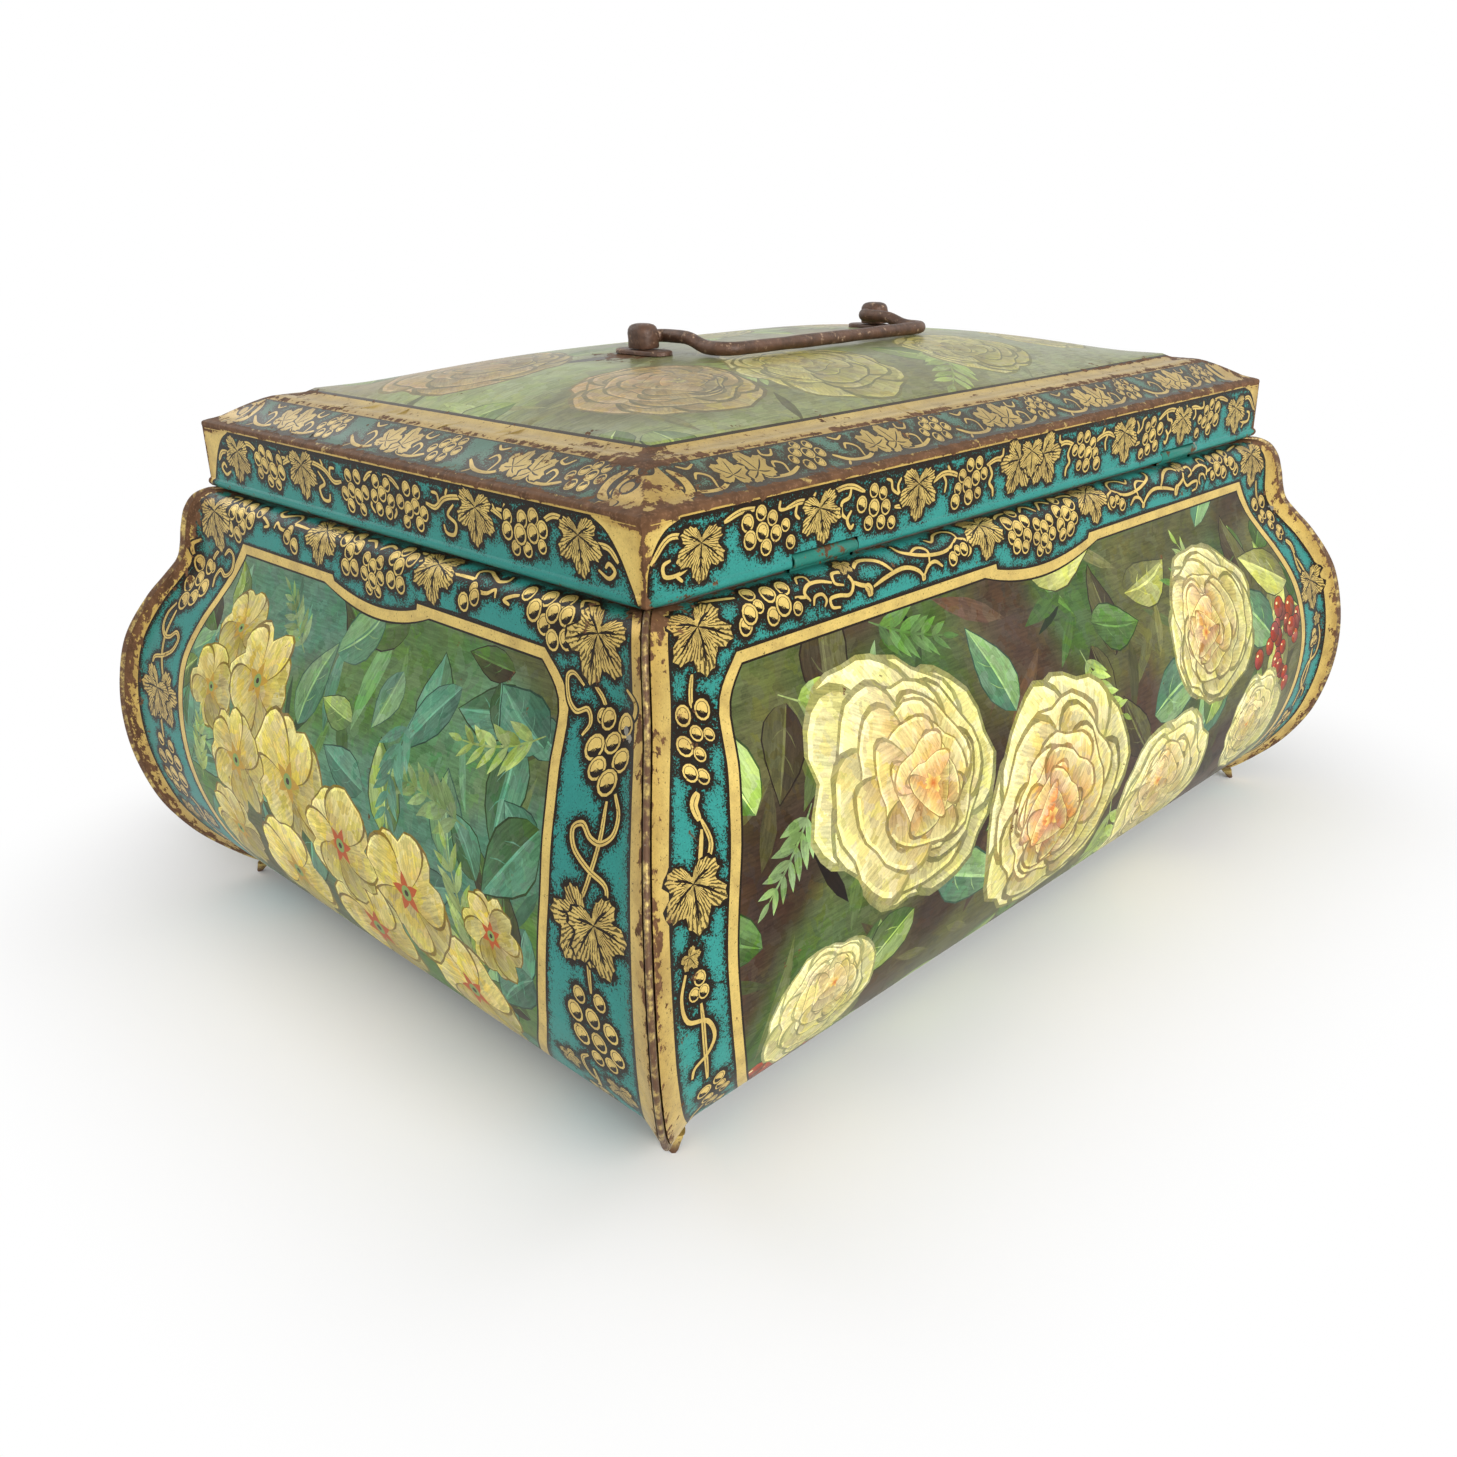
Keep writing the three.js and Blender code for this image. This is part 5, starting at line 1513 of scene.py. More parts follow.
def long_picture(sheet, rng, c, box):
    """Large cream and peach blooms in a loose garland over dark foliage."""
    field = mottled([c.olive, c.umber, c.olive * 0.7, c.green * 0.5, c.umber * 1.6], 16, 4)
    tones = (
        (c.green * 0.4, c.green), (c.green * 0.7, c.lime), (c.sea * 0.5, 0.5 * c.sea + 0.5 * c.lime),
        (c.olive, 0.5 * c.lime + 0.4 * c.yellow), (c.umber, c.olive), (c.green * 0.5, c.lime * 0.8),
        (c.umber * 1.4, c.russet),
    )
    tints = [tint * 0.9 for tint in (c.lime, 0.5 * c.lime + 0.4 * c.sea, c.green * 1.3)]

    def pick(k):
        """Any of the tones, with the last one, of russet leaves, at every fifth leaf only."""
        return tones[rng.integers(len(tones) - (k % 5 > 0))]

    leaves, sprays = (62, pick, any_way, (12, 27)), (14, tints, (18, 30))
    lay_growth(sheet, rng, box, field, (90, (10, 26), 0.6, 0.9), leaves, sprays)
    lay_berries(sheet, rng, c, (96, 93), (7, 4), 26)
    lay_berries(sheet, rng, c, (-97, 58), (6, 7), 24)
    for a, b, radius, lean, pale in LONG_BLOOMS:
        lay_camellia(sheet, rng, c, np.array([a, b], float), radius, lean, pale)


def short_picture(sheet, rng, c, box):
    """Yellow blooms in an arc across a blue green ground, with light sprays of leaves."""
    field = mottled([c.sea, c.sea * 0.7, c.green * 0.8, c.sage * 0.6, c.olive * 0.8], 15, 9)
    tones = (
        (c.sea * 0.4, c.sea), (c.green * 0.45, c.sea * 1.1), (c.sea * 0.7, 0.6 * c.sea + 0.4 * c.lime),
        (c.green * 0.6, c.lime * 0.8), (c.umber, c.green * 0.8),
    )
    tints = [tint * 0.85 for tint in (c.lime, 0.6 * c.lime + 0.4 * c.sea, c.sea * 1.2)]

    def pick(k):
        return tones[rng.integers(len(tones))]

    def hanging(rng):
        return rng.normal(-0.6, 1.1)

    leaves, sprays = (64, pick, hanging, (11, 22)), (12, tints, (16, 26))
    lay_growth(sheet, rng, box, field, (70, (8, 22), 1.2, 0.8), leaves, sprays)
    for a, b, radius in SHORT_BLOOMS:
        lay_primrose(sheet, rng, c, np.array([a, b], float), radius)


def wall_wear(size, half_span, rough_end=0.0):
    """How rubbed a wall is: most along the shoulder, the flared ends and the base, little elsewhere. The end
    on the side of larger distances can be rougher than the other."""
    last = side_section(size).reach[-1]

    def wear(places):
        along, down = places.T
        end = wall_end(size, half_span, down) - np.abs(along)
        edges = 0.2 * np.exp(-end / 0.8) + 0.17 * np.exp(-end / 5)
        edges = edges + (along > 0) * rough_end * np.exp(-end / 4)
        top = 0.35 * np.exp(-down / 1.6)
        foot = 0.15 * np.exp(-(last - down) / 3)
        corner = 0.26 * np.exp(-np.hypot(end, down - 2) / 7)
        return np.clip(edges + top + foot + corner, 0, 1)

    return wear


# The lid's print

def skirt_print(size, c, starts):
    """The print of the skirt: each side has its half vine twice, gold spandrels at its ends, and a gold line
    along the top."""
    sheet = Print(c.teal)
    foot = size.rim_height - size.roll_height
    for side, vine in enumerate((LONG_SKIRT_VINE, SHORT_SKIRT_VINE) * 2):
        half = (starts[side + 1] - starts[side]) / 2
        part = Print(c.teal)
        corner = smooth_curve(vine.spandrel, 4)
        for grow, tint, options in dark_then_gold(size, c):
            high, low = SKIRT_LINE[0], SKIRT_LINE[1] + grow
            part.lay([(0, high), (half, high), (half, low), (0, low)], tint, **options)
            top = [(half, SPANDREL_TOP), (corner[0, 0], SPANDREL_TOP)]
            part.lay(np.vstack([corner - [grow, 0], (half, foot), *top]), tint, **options)
        lay_vine(part, c, vine)
        part.mirror(0)
        if side % 2:
            lay_bunch(part, c, SKIRT_GRAPES)
        else:
            lay_leaf(part, c, np.array([0, 4.6]), 90, 5.4)
        sheet.take(part, partial(np.add, [starts[side] + half, 0]))
    return sheet


def skirt_wear(starts):
    """How rubbed the skirt is: most along the fold at the top and down the four corners."""

    def wear(places):
        corner = np.min(np.abs(places[:, :1] - starts), axis=1)
        top = 0.55 * np.exp(-np.maximum(places[:, 1] - 0.9, 0) / 0.5)
        roll = 0.2 * np.exp(-np.abs(places[:, 1] - 15.6) / 1.2)
        return np.clip(top + 0.5 * np.exp(-corner / 0.8) + 0.12 * np.exp(-corner / 5) + roll, 0, 1)

    return wear


def border_side(c, along):
    """One side of the lid's border, so long to either side of its middle: the vine, repeated a whole number
    of times, between two corner scrolls. A scroll is a wavy patch, a comma beside it and an eye between."""
    part, one = Print(c.teal), Print(c.teal)
    lay_vine(one, c, BORDER_VINE)
    span = along - SCROLL_LENGTH
    count = round(2 * span / BORDER_VINE.repeat)
    for k in range(count):
        part.take(one, partial(np.add, [2 * span * k / count - span + VINE_START, 0]))
    waves = [(8, 0.8), (8.4, 2.8), (11, 3.4), (12.3, 6), (11.4, 8.4), (9, 8.8), (8.8, 10.6), (11, 12.6)]
    edge, straight = smooth_curve(waves, 4), [(0.5, 12.6), (0.5, 0.8)]
    comma = smooth_curve([(11.4, 2.6), (14, 3.8), (14.8, 6.6), (13.6, 9.2)], 4)
    dark, gilt = {"vine": 1}, {"gilt": 1}
    scroll = (
        (ribbon(comma, 2.4, 0.5), c.ink, dark), (np.vstack([edge + [0.5, 0], straight]), c.ink, dark),
        (np.vstack([edge, straight]), c.gold, gilt), (ribbon(comma, 1.6, 0.7), c.gold, gilt),
        (ellipse(1.9) + (9.7, 6.2), c.ink, dark), (ellipse(1.2) + (9.9, 5.9), c.gold * 0.8, gilt),
    )
    for end in (-1, 1):
        for outline, tint, options in scroll:
            part.lay((outline * [-1, 1] + [along, 0]) * [end, 1], tint, **options)
    return part


def lid_print(size, c):
    """The print of the lid's top: vine and corner scrolls on teal, a gold step, a dark line, and blooms on
    the dome."""
    sheet = Print(c.gold * 0.8)
    half = lid_half(size)

    def ring(inset, tint, **options):
        return sheet.lay(-CORNERS[:-1] * (half - inset), tint, **options)

    ring(OUTER_LINE, c.ink, vine=1)
    # The border's ground is teal greyed with sage: partly dust, partly a painted sheen of the varnish.
    ring(BORDER_GROUND, 0.6 * c.teal + 0.2 * c.sage, vine=-1)
    for side, (along, across) in enumerate((half, half[::-1]) * 2):

        def on_border(points):
            """From distances along and in from the lid's edge to a place on the lid, on this side."""
            return placed(points * [1, -1] + [0, across], (0, 0), side * math.pi / 2)

        sheet.take(border_side(c, along), on_border, hatched=False)
    ring(STEP_LINE, c.ink)
    ring(STEP_GOLD, c.gold, gilt=1)
    ring(INNER_LINE, c.ink)
    sheet.window = ring(PICTURE_EDGE, c.sage, streak=1)
    lid_picture(sheet, np.random.default_rng(21), c, (PICTURE_BOX - half, half - PICTURE_BOX))
    return sheet


def lid_picture(sheet, rng, c, box):
    """Blooms on a sage ground under a greyish veil: dusky ones at the right, and straw yellow ones."""
    shades = [c.sage, c.sage * 0.75, 0.6 * c.sage + 0.4 * c.lime, 0.6 * c.sage + 0.3 * c.peach, c.olive * 1.2]
    veil = SimpleNamespace(**{key: 0.72 * value + 0.2 * c.sage for key, value in vars(c).items()})
    straw = {"cream": 0.5 * veil.yellow + 0.5 * veil.cream, "peach": veil.yellow * 0.8, "ember": veil.honey}
    dusk = {"cream": 0.7 * veil.peach + 0.2 * veil.cream, "peach": veil.peach * 0.7, "ember": veil.rust}
    palettes = {
        name: SimpleNamespace(**vars(veil) | changes)
        for name, changes in (("veil", {}), ("straw", straw), ("dusk", dusk))
    }
    leaves = (22, lambda k: (veil.green, veil.lime), any_way, (14, 28))
    strokes, sprays = (60, (10, 30), 0.3, 0.7), (6, [veil.lime], (20, 32))
    lay_growth(sheet, rng, box, mottled(shades, 20, 12), strokes, leaves, sprays)
    for a, b, radius, lean, pale, palette in LID_BLOOMS:
        lay_camellia(sheet, rng, palettes[palette], np.array([a, b], float), radius, lean, pale)


def lid_wear(size):
    """How rubbed the lid's top is: most along the outer fold, the step and the mitres of the border, with a
    stain at the right post."""
    half = lid_half(size)

    def wear(places):
        reach = half - np.abs(places)
        inset = reach.min(axis=1)
        mitre = np.abs(reach[:, 0] - reach[:, 1])
        fold = 0.5 * np.exp(-np.maximum(inset - 0.9, 0) / 0.6)
        step = 0.42 * np.exp(-((inset - 11.2) / 0.7) ** 2) + 0.05 * np.exp(-((inset - 15.5) / 2.6) ** 2)
        corners = 0.2 * np.exp(-mitre / 2.5) + 0.2 * np.exp(-mitre / 14)
        corners = np.where(inset < size.border_width - 1, corners, 0)
        stain = 0.5 * np.exp(-((places[:, 0] - POST_LOW[0] - 4) ** 2 + (places[:, 1] + 1) ** 2) / 110)
        return np.clip(fold + step + corners + stain + 0.1 * (inset < size.border_width), 0, 1)

    return wear


# Operators

class BuildWalls(bpy.types.Operator):
    """Makes the four printed walls of the body"""

    bl_idname = "casket.walls"
    bl_label = "Walls"

    def execute(self, context):
        size, c = sizes_of(context.scene), colours_of(context.scene)
        finishes = finishes_of(context.scene, "wall", "tin")
        long, short = lid_half(size)
        notch_depth = 0.8
        notches = [(middle, KNUCKLE_HALF + GAP, notch_depth) for middle in (-KNUCKLE_MIDDLE, KNUCKLE_MIDDLE)]
        walls = (
            ("back", long, short, 0, LONG_VINE, long_picture, notches, 0, 3),
            ("right", short, long, -1, SHORT_VINE, short_picture, (), 0.26, 5),
            ("front", long, short, 2, LONG_VINE, long_picture, (), 0, 7),
            ("left", short, long, 1, SHORT_VINE, short_picture, (), 0.26, 11),
        )
        for side, span, depth, turns, vine, picture, cuts, rough_end, seed in walls:
            sheet = wall_print(size, c, vine, span, seed, picture)
            surface, outline = wall_surface(size, span, depth, turns), wall_outline(size, span, cuts)
            wear = wall_wear(size, span, rough_end)
            mesh = printed_mesh(f"{side}_wall", sheet, surface, outline, (), wear, size)
            piece(f"{side}_wall", mesh, "box", "printed_tin", finishes, f"{side}_panel")
        return {"FINISHED"}


class BuildSeams(bpy.types.Operator):
    """Makes the folded corner seams with their toes"""

    bl_idname = "casket.seams"
    bl_label = "Corner seams"

    def execute(self, context):
        size = sizes_of(context.scene)
        finishes = finishes_of(context.scene, "seam")
        up = np.array([0, 0, 1])
        for name, corner in zip(("back_right", "back_left", "front_left", "front_right"), CORNERS):
            outward = np.append(corner, 0) / math.sqrt(2)
            turn = np.array([outward, np.cross(outward, up), up])
            place = np.append(corner * lid_half(size), 0)
            solids = (self.strip(size), self.toe(size))
            solids = [(points @ turn + place, triangles) for points, triangles in solids]
            mesh = lofted_mesh(f"seam_{name}", solids)
            piece(f"seam_{name}", mesh, "box", "gold_lacquered_tin", finishes, f"corner_seam_{name}")
        return {"FINISHED"}

    def strip(self, size):
        """The folded edge: a section with a half-round outer edge and a flange that closes the joint from
        inside the sheet, carried down the side section in the diagonal plane. Points are [out along the
        diagonal, across, up], where a sheet's point lies at out * sqrt(2) less its way across."""
        side = side_section(size)
        half = size.seam_thickness / 2
        diagonal = np.array([math.sqrt(2), 1])
        stand = standout(size, side.points[:, 1])[:, None]
        hair = 0.03
        outer = (side.points + side.normals * (stand - hair)) * diagonal
        back = unit((side.points - side.normals * size.sheet) * diagonal - outer) * half
        angles = np.linspace(-math.pi / 2, math.pi / 2, 9)
        lines = [(outer + back * (1 - math.cos(angle)), half * math.sin(angle)) for angle in angles]
        reach, near, far = half + GAP + 0.3, 0.12, size.sheet - 0.05
        flange = ((half, near), (reach, near), (reach, far), (-reach, far), (-reach, near), (-half, near))
        for across, depth in flange:
            lines.append(((side.points - side.normals * depth) * diagonal - [abs(across), 0], across))
        return loft(np.stack([np.insert(line, 1, across, axis=1) for line, across in lines], 1))

    def toe(self, size):
        """The toe: rounded squares that shrink and lean out from the seam's end to the ground."""
        side = side_section(size)
        last = side.points[-1] + side.normals[-1] * size.seam_standout
        depth = 3.2
        top = np.array([last[0] * math.sqrt(2) - depth / 2, min(size.toe_height, last[1])])
        tip = np.array([size.toe_reach * math.sqrt(2), 0])
        full = np.array([depth, size.toe_width])
        levels = []
        for share in (0, 0.12, 0.35, 0.6, 0.85, 0.96, 1):
            out, height = top + (tip - top) * share
            shrink = 1 - 0.25 * max(0, (share - 0.85) / 0.15)
            half = (size.toe_tip + (full - size.toe_tip) * (1 - share ** 0.9)) * shrink / 2
            levels.append((*half, out, 0, height))
        angles = np.linspace(0, 2 * math.pi, 20, endpoint=False) + math.pi / 20
        return loft(stacked(squared(around(angles), 0.55), levels))


class BuildLid(bpy.types.Operator):
    """Makes the printed top and skirt of the lid"""

    bl_idname = "casket.lid"
    bl_label = "Lid"

    def execute(self, context):
        size, c = sizes_of(context.scene), colours_of(context.scene)
        on_lid, on_skirt = finishes_of(context.scene, "lid", "tin"), finishes_of(context.scene, "wall", "tin")
        piece("lid_top_printed", self.top(size, c), "lid", "printed_tin", on_lid, "lid_top")
        piece("lid_skirt_printed", self.skirt(size, c), "lid", "printed_tin", on_skirt, "lid_skirt")
        return {"FINISHED"}

    def top(self, size, c):
        """The top: creases run along its mitres, round the dome's foot and round the fold of its edge."""
        surface, half, reach = lid_surface(size)
        creases = [resampled([corner * half, corner * (half - reach)], 2) for corner in CORNERS[:-1]]
        for inset in (reach, 0.35, 0.7, 1.1, 1.6):
            creases.append(resampled(CORNERS * (half - inset), 2))
        outline = resampled(-CORNERS * half, 2)[:-1]
        sheet, wear = lid_print(size, c), lid_wear(size)
        return printed_mesh("lid_top_printed", sheet, surface, outline, creases, wear, size)

    def skirt(self, size, c):
        """The skirt: a strip with a slot from below for each knuckle, creased down its corners and along."""
        surface, starts, section = skirt_surface(size)
        first, last, end = SKIRT_TOP, section.reach[-1], starts[-1]
        reach = KNUCKLE_HALF + 0.4
        slot_top = size.rim_height - KNUCKLE_HIGH[2] - GAP
        outline = [(0, first), (end, first), (end, last)]
        for side in (1, -1):
            middle = (starts[2] + starts[3]) / 2 + side * KNUCKLE_MIDDLE
            right, left = middle + reach, middle - reach
            outline += [(right, last), (right, slot_top), (left, slot_top), (left, last)]
        outline = resampled([*outline, (0, last), (0, first)], 2)[:-1]
        creases = [resampled([(start, first), (start, last)], 1.5) for start in starts[1:-1]]
        creases += [resampled([(0, down), (end, down)], 3) for down in section.reach[1::2]]
        sheet, wear = skirt_print(size, c, starts), skirt_wear(starts)
        return printed_mesh("lid_skirt_printed", sheet, surface, outline, creases, wear, size)


class BuildHinges(bpy.types.Operator):
    """Makes the two hinge leaves with their rolled knuckles"""

    bl_idname = "casket.hinges"
    bl_label = "Hinges"

    def execute(self, context):
        size, c = sizes_of(context.scene), colours_of(context.scene)
        finishes = finishes_of(context.scene, "wall")
        for side in ("right", "left"):
            low, high = extent(f"hinge_leaf_{side}")
            layers = partial(self.layers, (low[0], high[0]), c.teal)
            mesh = lofted_mesh(f"hinge_knuckle_{side}", [self.knuckle(size, low, high)], 40, layers)
            piece(f"hinge_knuckle_{side}", mesh, "box", "printed_tin", finishes, f"hinge_leaf_{side}")
        return {"FINISHED"}

    def knuckle(self, size, low, high):
        """A leaf whose upper edge is rolled round the pin, with its ends a little rounded."""
        radius, bore = high[2] - size.roll_height, 0.8
        middle = np.array([size.lid_width / 2 - size.roll_inset, size.roll_height])
        arc = around(np.linspace(math.pi, -math.pi * 7 / 12, 26))
        foot_inside = (low[1] + radius - bore, low[2])
        section = np.vstack([low[1:], middle + radius * arc, middle + bore * arc[::-1], foot_inside])
        inwards = unit(section - middle) * np.where(np.arange(len(section)) <= len(arc), -1, 1)[:, None]
        ends = ((low[0], 0.12), (low[0] + 0.15, 0), (high[0] - 0.15, 0), (high[0], 0.12))
        return loft(np.stack([np.insert(section + inwards * shrink, 0, x, axis=1) for x, shrink in ends]))

    def layers(self, ends, tint, corners):
        """Plain ink without stipple or streak, and wear that fades away from the leaf's two ends."""
        blank = np.zeros(len(corners))
        wear = 0.04 + 0.34 * np.exp(-np.min(np.abs(corners[:, :1] - ends), axis=1) / 0.5)
        touch = np.column_stack([blank, np.clip(wear, 0, 1), blank, blank + 1])
        return np.tile([*tint, 0], (len(corners), 1)), touch, corners


class BuildHandle(bpy.types.Operator):
    """Makes the iron posts, their foot plates and the bail handle"""

    bl_idname = "casket.handle"
    bl_label = "Handle"

    def execute(self, context):
        iron = finishes_of(context.scene, "iron")
        for side in ("right", "left"):
            low, high = extent(f"handle_post_{side}")
            mesh = lofted_mesh(f"post_{side}", [self.lug(low, high), self.shank(low, high)], 60)
            piece(f"post_{side}", mesh, "lid", "rusted_iron", iron, f"handle_post_{side}")
            mesh = lofted_mesh(f"post_foot_{side}", [self.plate(*extent(f"foot_plate_{side}"))], 50)
            piece(f"post_foot_{side}", mesh, "lid", "rusted_iron", iron, f"foot_plate_{side}")
        piece("bail", lofted_mesh("bail", [self.bail()], 60), "handle", "rusted_iron", iron, "bail_handle")
        return {"FINISHED"}

    def lug(self, low, high):
        """A stubby lug with a domed top: rounded squares that draw in by height, with slow lumps."""
        middle, height = (low[0] + high[0]) / 2, 5.2
        plan = squared(circle(36), 0.78) * (high - low)[:2] * [0.53, 0.52]
        angle = np.linspace(0, 2 * math.pi, 36, endpoint=False)
        levels = ((0, 0.95), (0.08, 1), (0.34, 0.985), (0.6, 0.99), (0.76, 0.95), (0.88, 0.85), (0.95, 0.7),
                  (0.99, 0.48), (1, 0.2))
        rings = []
        for level, draw in levels:
            lumps = 1 - 0.02 * (1 + np.sin(angle * 3 + 5 * level) * np.cos(angle * 2 - 3 * level))
            ring = plan * draw * lumps[:, None] + [middle, 0]
            rings.append(np.insert(ring, 2, high[2] - height + level * height, axis=1))
        return loft(np.stack(rings))

    def shank(self, low, high):
        """The shank and the riveted head under the lid: circles down a profile of radius and height."""
        head, top = low[2], high[2]
        profile = ((0.6, top - 4.2), (1.3, top - 4.8), (1.3, head + 0.8), (2.3, head + 0.8),
                   (2.4, head + 0.55), (1.9, head + 0.15), (0.9, head))
        middle = (low[0] + high[0]) / 2
        return loft(stacked(circle(24), [(radius, radius, middle, 0, height) for radius, height in profile]))

    def plate(self, low, high):
        """The foot plate: a strip with round ends, its edge bevelled, that sinks to the lid at its ends."""
        wide, long = (high - low)[:2]
        cap = around(np.linspace(0, math.pi, 15)) * wide / 2 + [0, (long - wide) / 2]
        foot, top = low[2], high[2]
        bevel = ((0, foot - GAP - 0.05), (0, foot + 0.25), (0.12, foot + 0.5), (0.4, top), (1.6, top))
        middle = (low[0] + high[0]) / 2
        levels = [(1 - 2 * inset / wide, 1 - 2 * inset / long, middle, 0, height) for inset, height in bevel]
        return loft(stacked(np.vstack([cap, -cap]), levels))

    def bail(self):
        """The bail: a round wire, a little uneven, along a path of straight runs and rounded bends. From each
        stub the arm runs level, dips in an S to just above the dome, and turns a corner into the grip."""
        radius = 1.5
        pivot = BAIL_HIGH[2] - radius
        drop = pivot - (BAIL_LOW[2] + radius)
        reach = BAIL_HIGH[1] - radius
        stub = BAIL_HIGH[0] - 1
        lug_length, arm_gap = 5.5, 1.15
        arm = BAIL_HIGH[0] - lug_length - arm_gap - radius
        corner, elbow, level = 5.0, 2.4, 6.5
        bend = reach - corner
        dip = (level + bend) / 2
        t = np.linspace(0, 1, 9)[:-1, None]

        def curve(*points):
            """A Bezier curve: its points weighted by the binomial terms of t and 1 - t."""
            power = len(points) - 1
            weights = [math.comb(power, k) * t ** k * (1 - t) ** (power - k) for k in range(len(points))]
            return sum(weight * np.array(point) for weight, point in zip(weights, points))

        path = np.vstack([
            curve((stub, 0, 0), (arm + elbow, 0, 0)),
            curve((arm + elbow, 0, 0), (arm, 0, 0), (arm, elbow, 0)),
            curve((arm, elbow, 0), (arm, level, 0)),
            curve((arm, level, 0), (arm, dip, 0), (arm, dip, -drop), (arm, bend, -drop)),
            curve((arm, bend, -drop), (arm, reach, -drop), (arm - corner, reach, -drop)),
            curve((arm - corner, reach, -drop), (0, reach, -drop)),
        ])
        path = resampled(np.vstack([path, (path * [-1, 1, 1])[::-1]]), 0.9)
        ways = unit(np.gradient(path, axis=0))
        side = unit(np.cross(ways, [0, 0, 1]))
        frames = np.stack([side, np.cross(side, ways)], 1)
        along = distances(path)
        thick = radius * (0.97 - 0.03 * np.sin(along / 5) - 0.02 * np.sin(along / 2.1))
        thick[0] = thick[-1] = radius * 0.7
        return loft(path[:, None] + thick[:, None, None] * (circle(20) @ frames) + [0, 0, pivot])


class FinishTinware(bpy.types.Operator):
    """Gives the CAD nodes that stay their finishes"""

    bl_idname = "casket.tinware"
    bl_label = "Plain tinware"

    def execute(self, context):
        finishes = {
            "collar": "tin", "base_plate": "tin", "clinch_washer_right": "tin", "clinch_washer_left": "tin",
            "edge_wire": "iron",
        }
        for node, key in finishes.items():
            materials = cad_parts[node].data.materials
            materials.clear()
            materials.append(*finishes_of(context.scene, key))
        return {"FINISHED"}


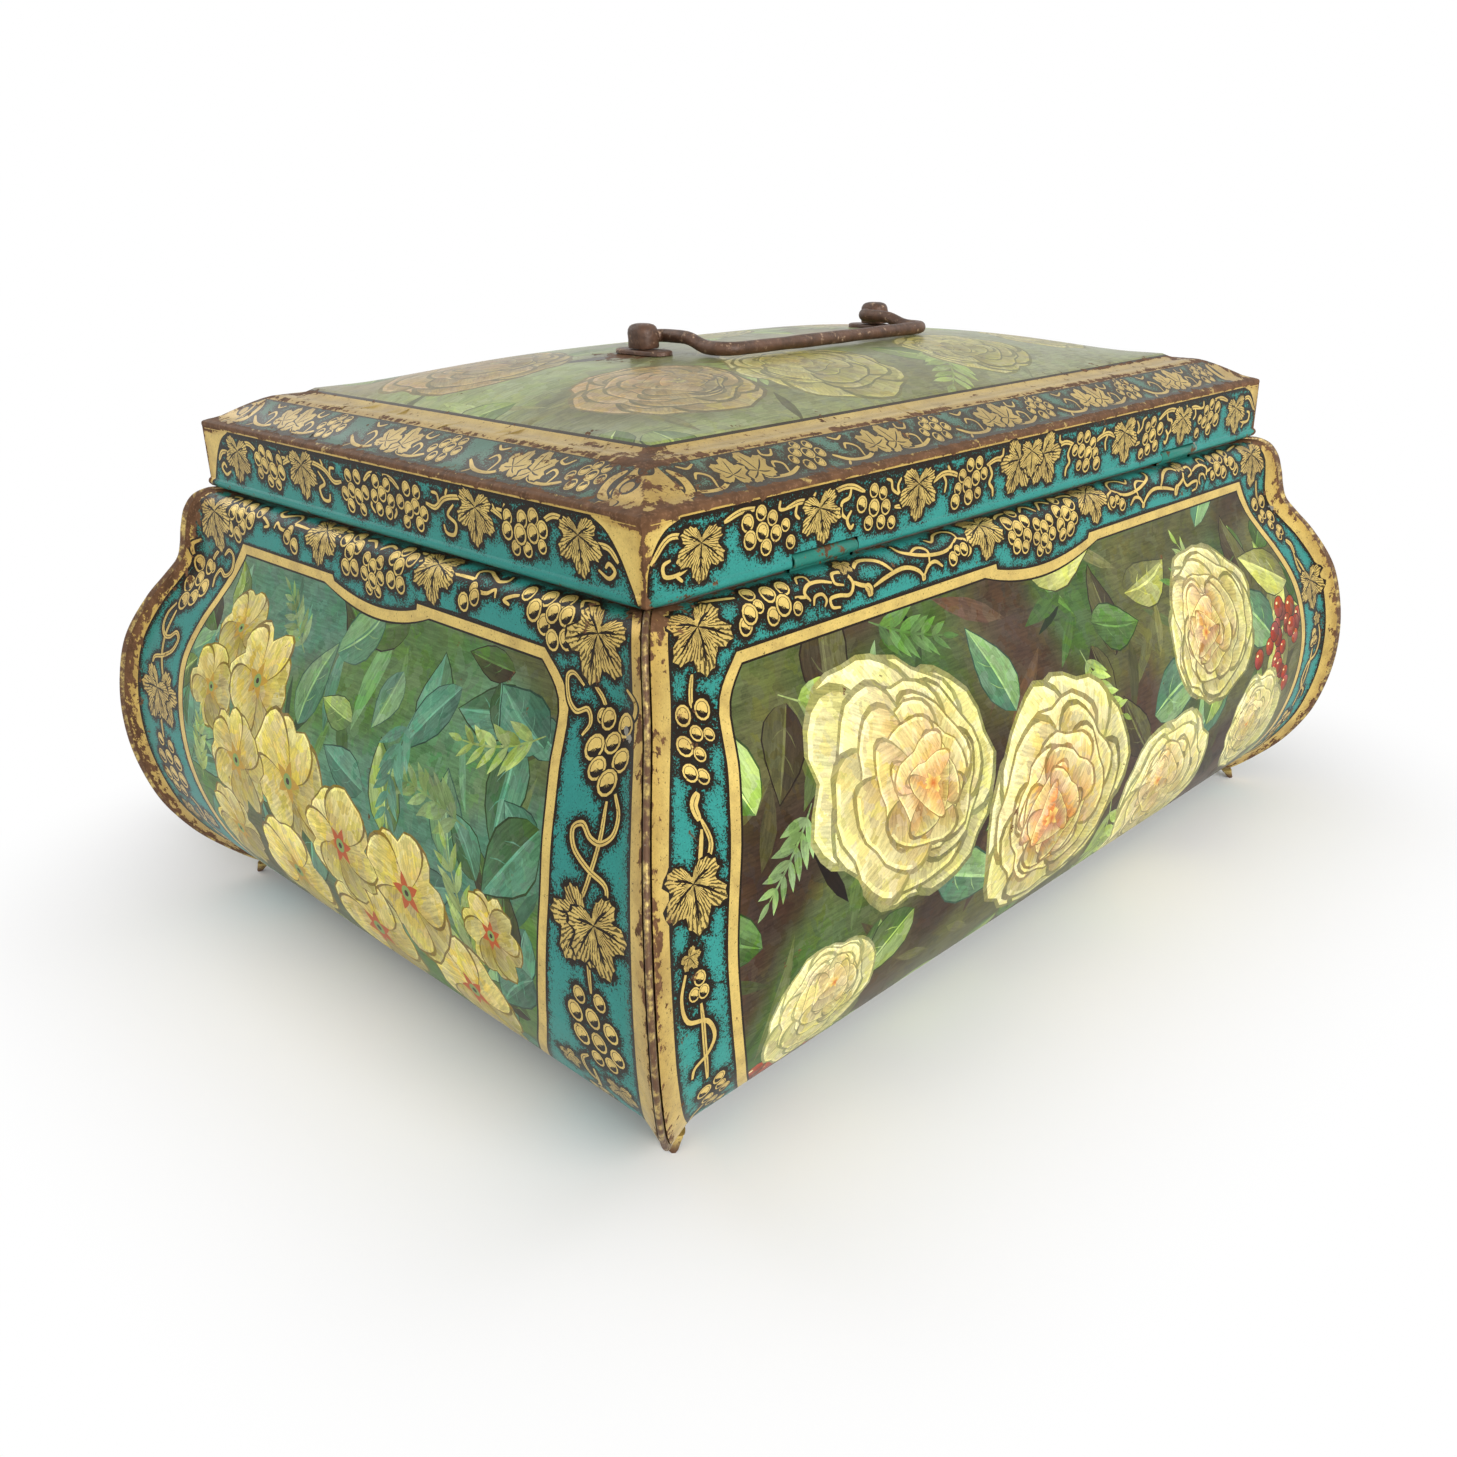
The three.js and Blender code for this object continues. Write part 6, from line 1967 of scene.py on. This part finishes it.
class BuildStage(bpy.types.Operator):
    """Makes the floor, the lamps, the world and the camera"""

    bl_idname = "casket.stage"
    bl_label = "Stage"

    def execute(self, context):
        scene = context.scene
        self.floor(scene)
        self.world(scene)
        for name, place, width, power in LAMPS:
            lamp = bpy.data.lights.new(name, "AREA")
            lamp.energy = power
            lamp.size = width
            obj = bpy.data.objects.new(name, lamp)
            obj.location = place
            obj.rotation_euler = (Vector(LIT_PLACE) - Vector(place)).to_track_quat("-Z", "Y").to_euler()
            scene.collection.objects.link(obj)
        self.camera(scene)
        scene.view_settings.view_transform = "Standard"
        return {"FINISHED"}

    def floor(self, scene):
        """A matt pale board under the toes' tips, which fades to plain white away from the box. The white is
        for the camera, gloss and glass only."""
        half = 3000.0
        corners = np.insert(-CORNERS[:-1] * half, 2, 0, axis=1)
        mesh = mesh_from("floor", corners, np.array([(0, 1, 2), (0, 2, 3)]))
        material, node, shader, place = new_material("Matt pale board")
        fill(shader, {"Base Color": colours_of(scene).floor, "Roughness": 0.9, "Specular IOR Level": 0.1})
        away = node("VectorMath", (place,), operation="ABSOLUTE")
        away = node("VectorMath", (away, (0.1, 0.07, 0)), **MINUS)
        away = node("VectorMath", (away, (0, 0, 0)), operation="MAXIMUM")
        away = node("VectorMath", (away,), operation="LENGTH")
        blank = node("Math", (node("MapRange", (away, 0.02, 0.1), **STEP), seen_plainly(node)), **TIMES)
        glow = node("Emission", {"Color": (1, 1, 1, 1), "Strength": 1})
        board = node("MixShader", (blank, shader.outputs[0], glow))
        fill(material.node_tree.nodes["Material Output"], {"Surface": board})
        mesh.materials.append(material)
        obj = bpy.data.objects.new("floor", mesh)
        scene.collection.objects.link(obj)
        obj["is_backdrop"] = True

    def world(self, scene):
        """Soft white light all round, and plain white where the camera sees past the floor."""
        world = bpy.data.worlds.new("Soft studio")
        scene.world = world
        world.use_nodes = True
        node = partial(add, world.node_tree)
        strength = node("MapRange", (seen_plainly(node), 0, 1, 0.45, 1), **STEP)
        fill(world.node_tree.nodes["Background"], {"Color": (1, 1, 1, 1), "Strength": strength})

    def camera(self, scene):
        """The photograph's camera: its heading, fall and roll, and the shift that its framing needs."""
        turn, fall, roll = (math.radians(angle) for angle in (EYE_HEADING, EYE_FALL, EYE_ROLL))
        forward = Vector((math.cos(turn) * math.cos(fall), math.sin(turn) * math.cos(fall), -math.sin(fall)))
        right = Vector((math.sin(turn), -math.cos(turn), 0))
        down = forward.cross(right)
        c, s = math.cos(roll), math.sin(roll)
        right, down = c * right + s * down, c * down - s * right
        camera = bpy.data.cameras.new("camera")
        camera.lens = camera.sensor_width * FOCAL_PIXELS / PHOTO_WIDTH
        camera.shift_x = 0.5 - CENTRE_PIXELS[0] / PHOTO_WIDTH
        camera.shift_y = CENTRE_PIXELS[1] / PHOTO_WIDTH - 0.5
        camera.clip_start = 0.01
        obj = bpy.data.objects.new("camera", camera)
        placing = Matrix((right, -down, -forward)).transposed().to_4x4()
        placing.translation = Vector(EYE) * MM
        obj.matrix_world = placing
        scene.collection.objects.link(obj)
        scene.camera = obj


class CasketPanel(bpy.types.Panel):
    """Lists the casket's sizes, colours and building steps"""

    bl_idname = "VIEW3D_PT_casket"
    bl_label = "Casket"
    bl_space_type = "VIEW_3D"
    bl_region_type = "UI"
    bl_category = "Casket"

    def draw(self, context):
        for operator in OPERATORS:
            self.layout.operator(operator.bl_idname)
        scene = context.scene
        for group, keys in ((scene.casket_sizes, CasketSizes), (scene.casket_colours, CasketColours)):
            box = self.layout.box()
            for key in keys.__annotations__:
                box.prop(group, key)


OPERATORS = (BuildWalls, BuildSeams, BuildLid, BuildHinges, BuildHandle, FinishTinware, BuildStage)
CLASSES = (CasketSizes, CasketColours, *OPERATORS, CasketPanel)


def register():
    for cls in CLASSES:
        bpy.utils.register_class(cls)
    bpy.types.Scene.casket_sizes = bpy.props.PointerProperty(type=CasketSizes)
    bpy.types.Scene.casket_colours = bpy.props.PointerProperty(type=CasketColours)


def unregister():
    del bpy.types.Scene.casket_sizes
    del bpy.types.Scene.casket_colours
    for cls in reversed(CLASSES):
        bpy.utils.unregister_class(cls)


def main():
    register()
    for operator in OPERATORS:
        group, name = operator.bl_idname.split(".")
        getattr(getattr(bpy.ops, group), name)()
    boxes = {"cad": CAD_BOUNDS, "visual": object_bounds()}
    {name: [[float(value) for value in corner] for corner in box] for name, box in boxes.items()}


if __name__ == "__main__":
    main()
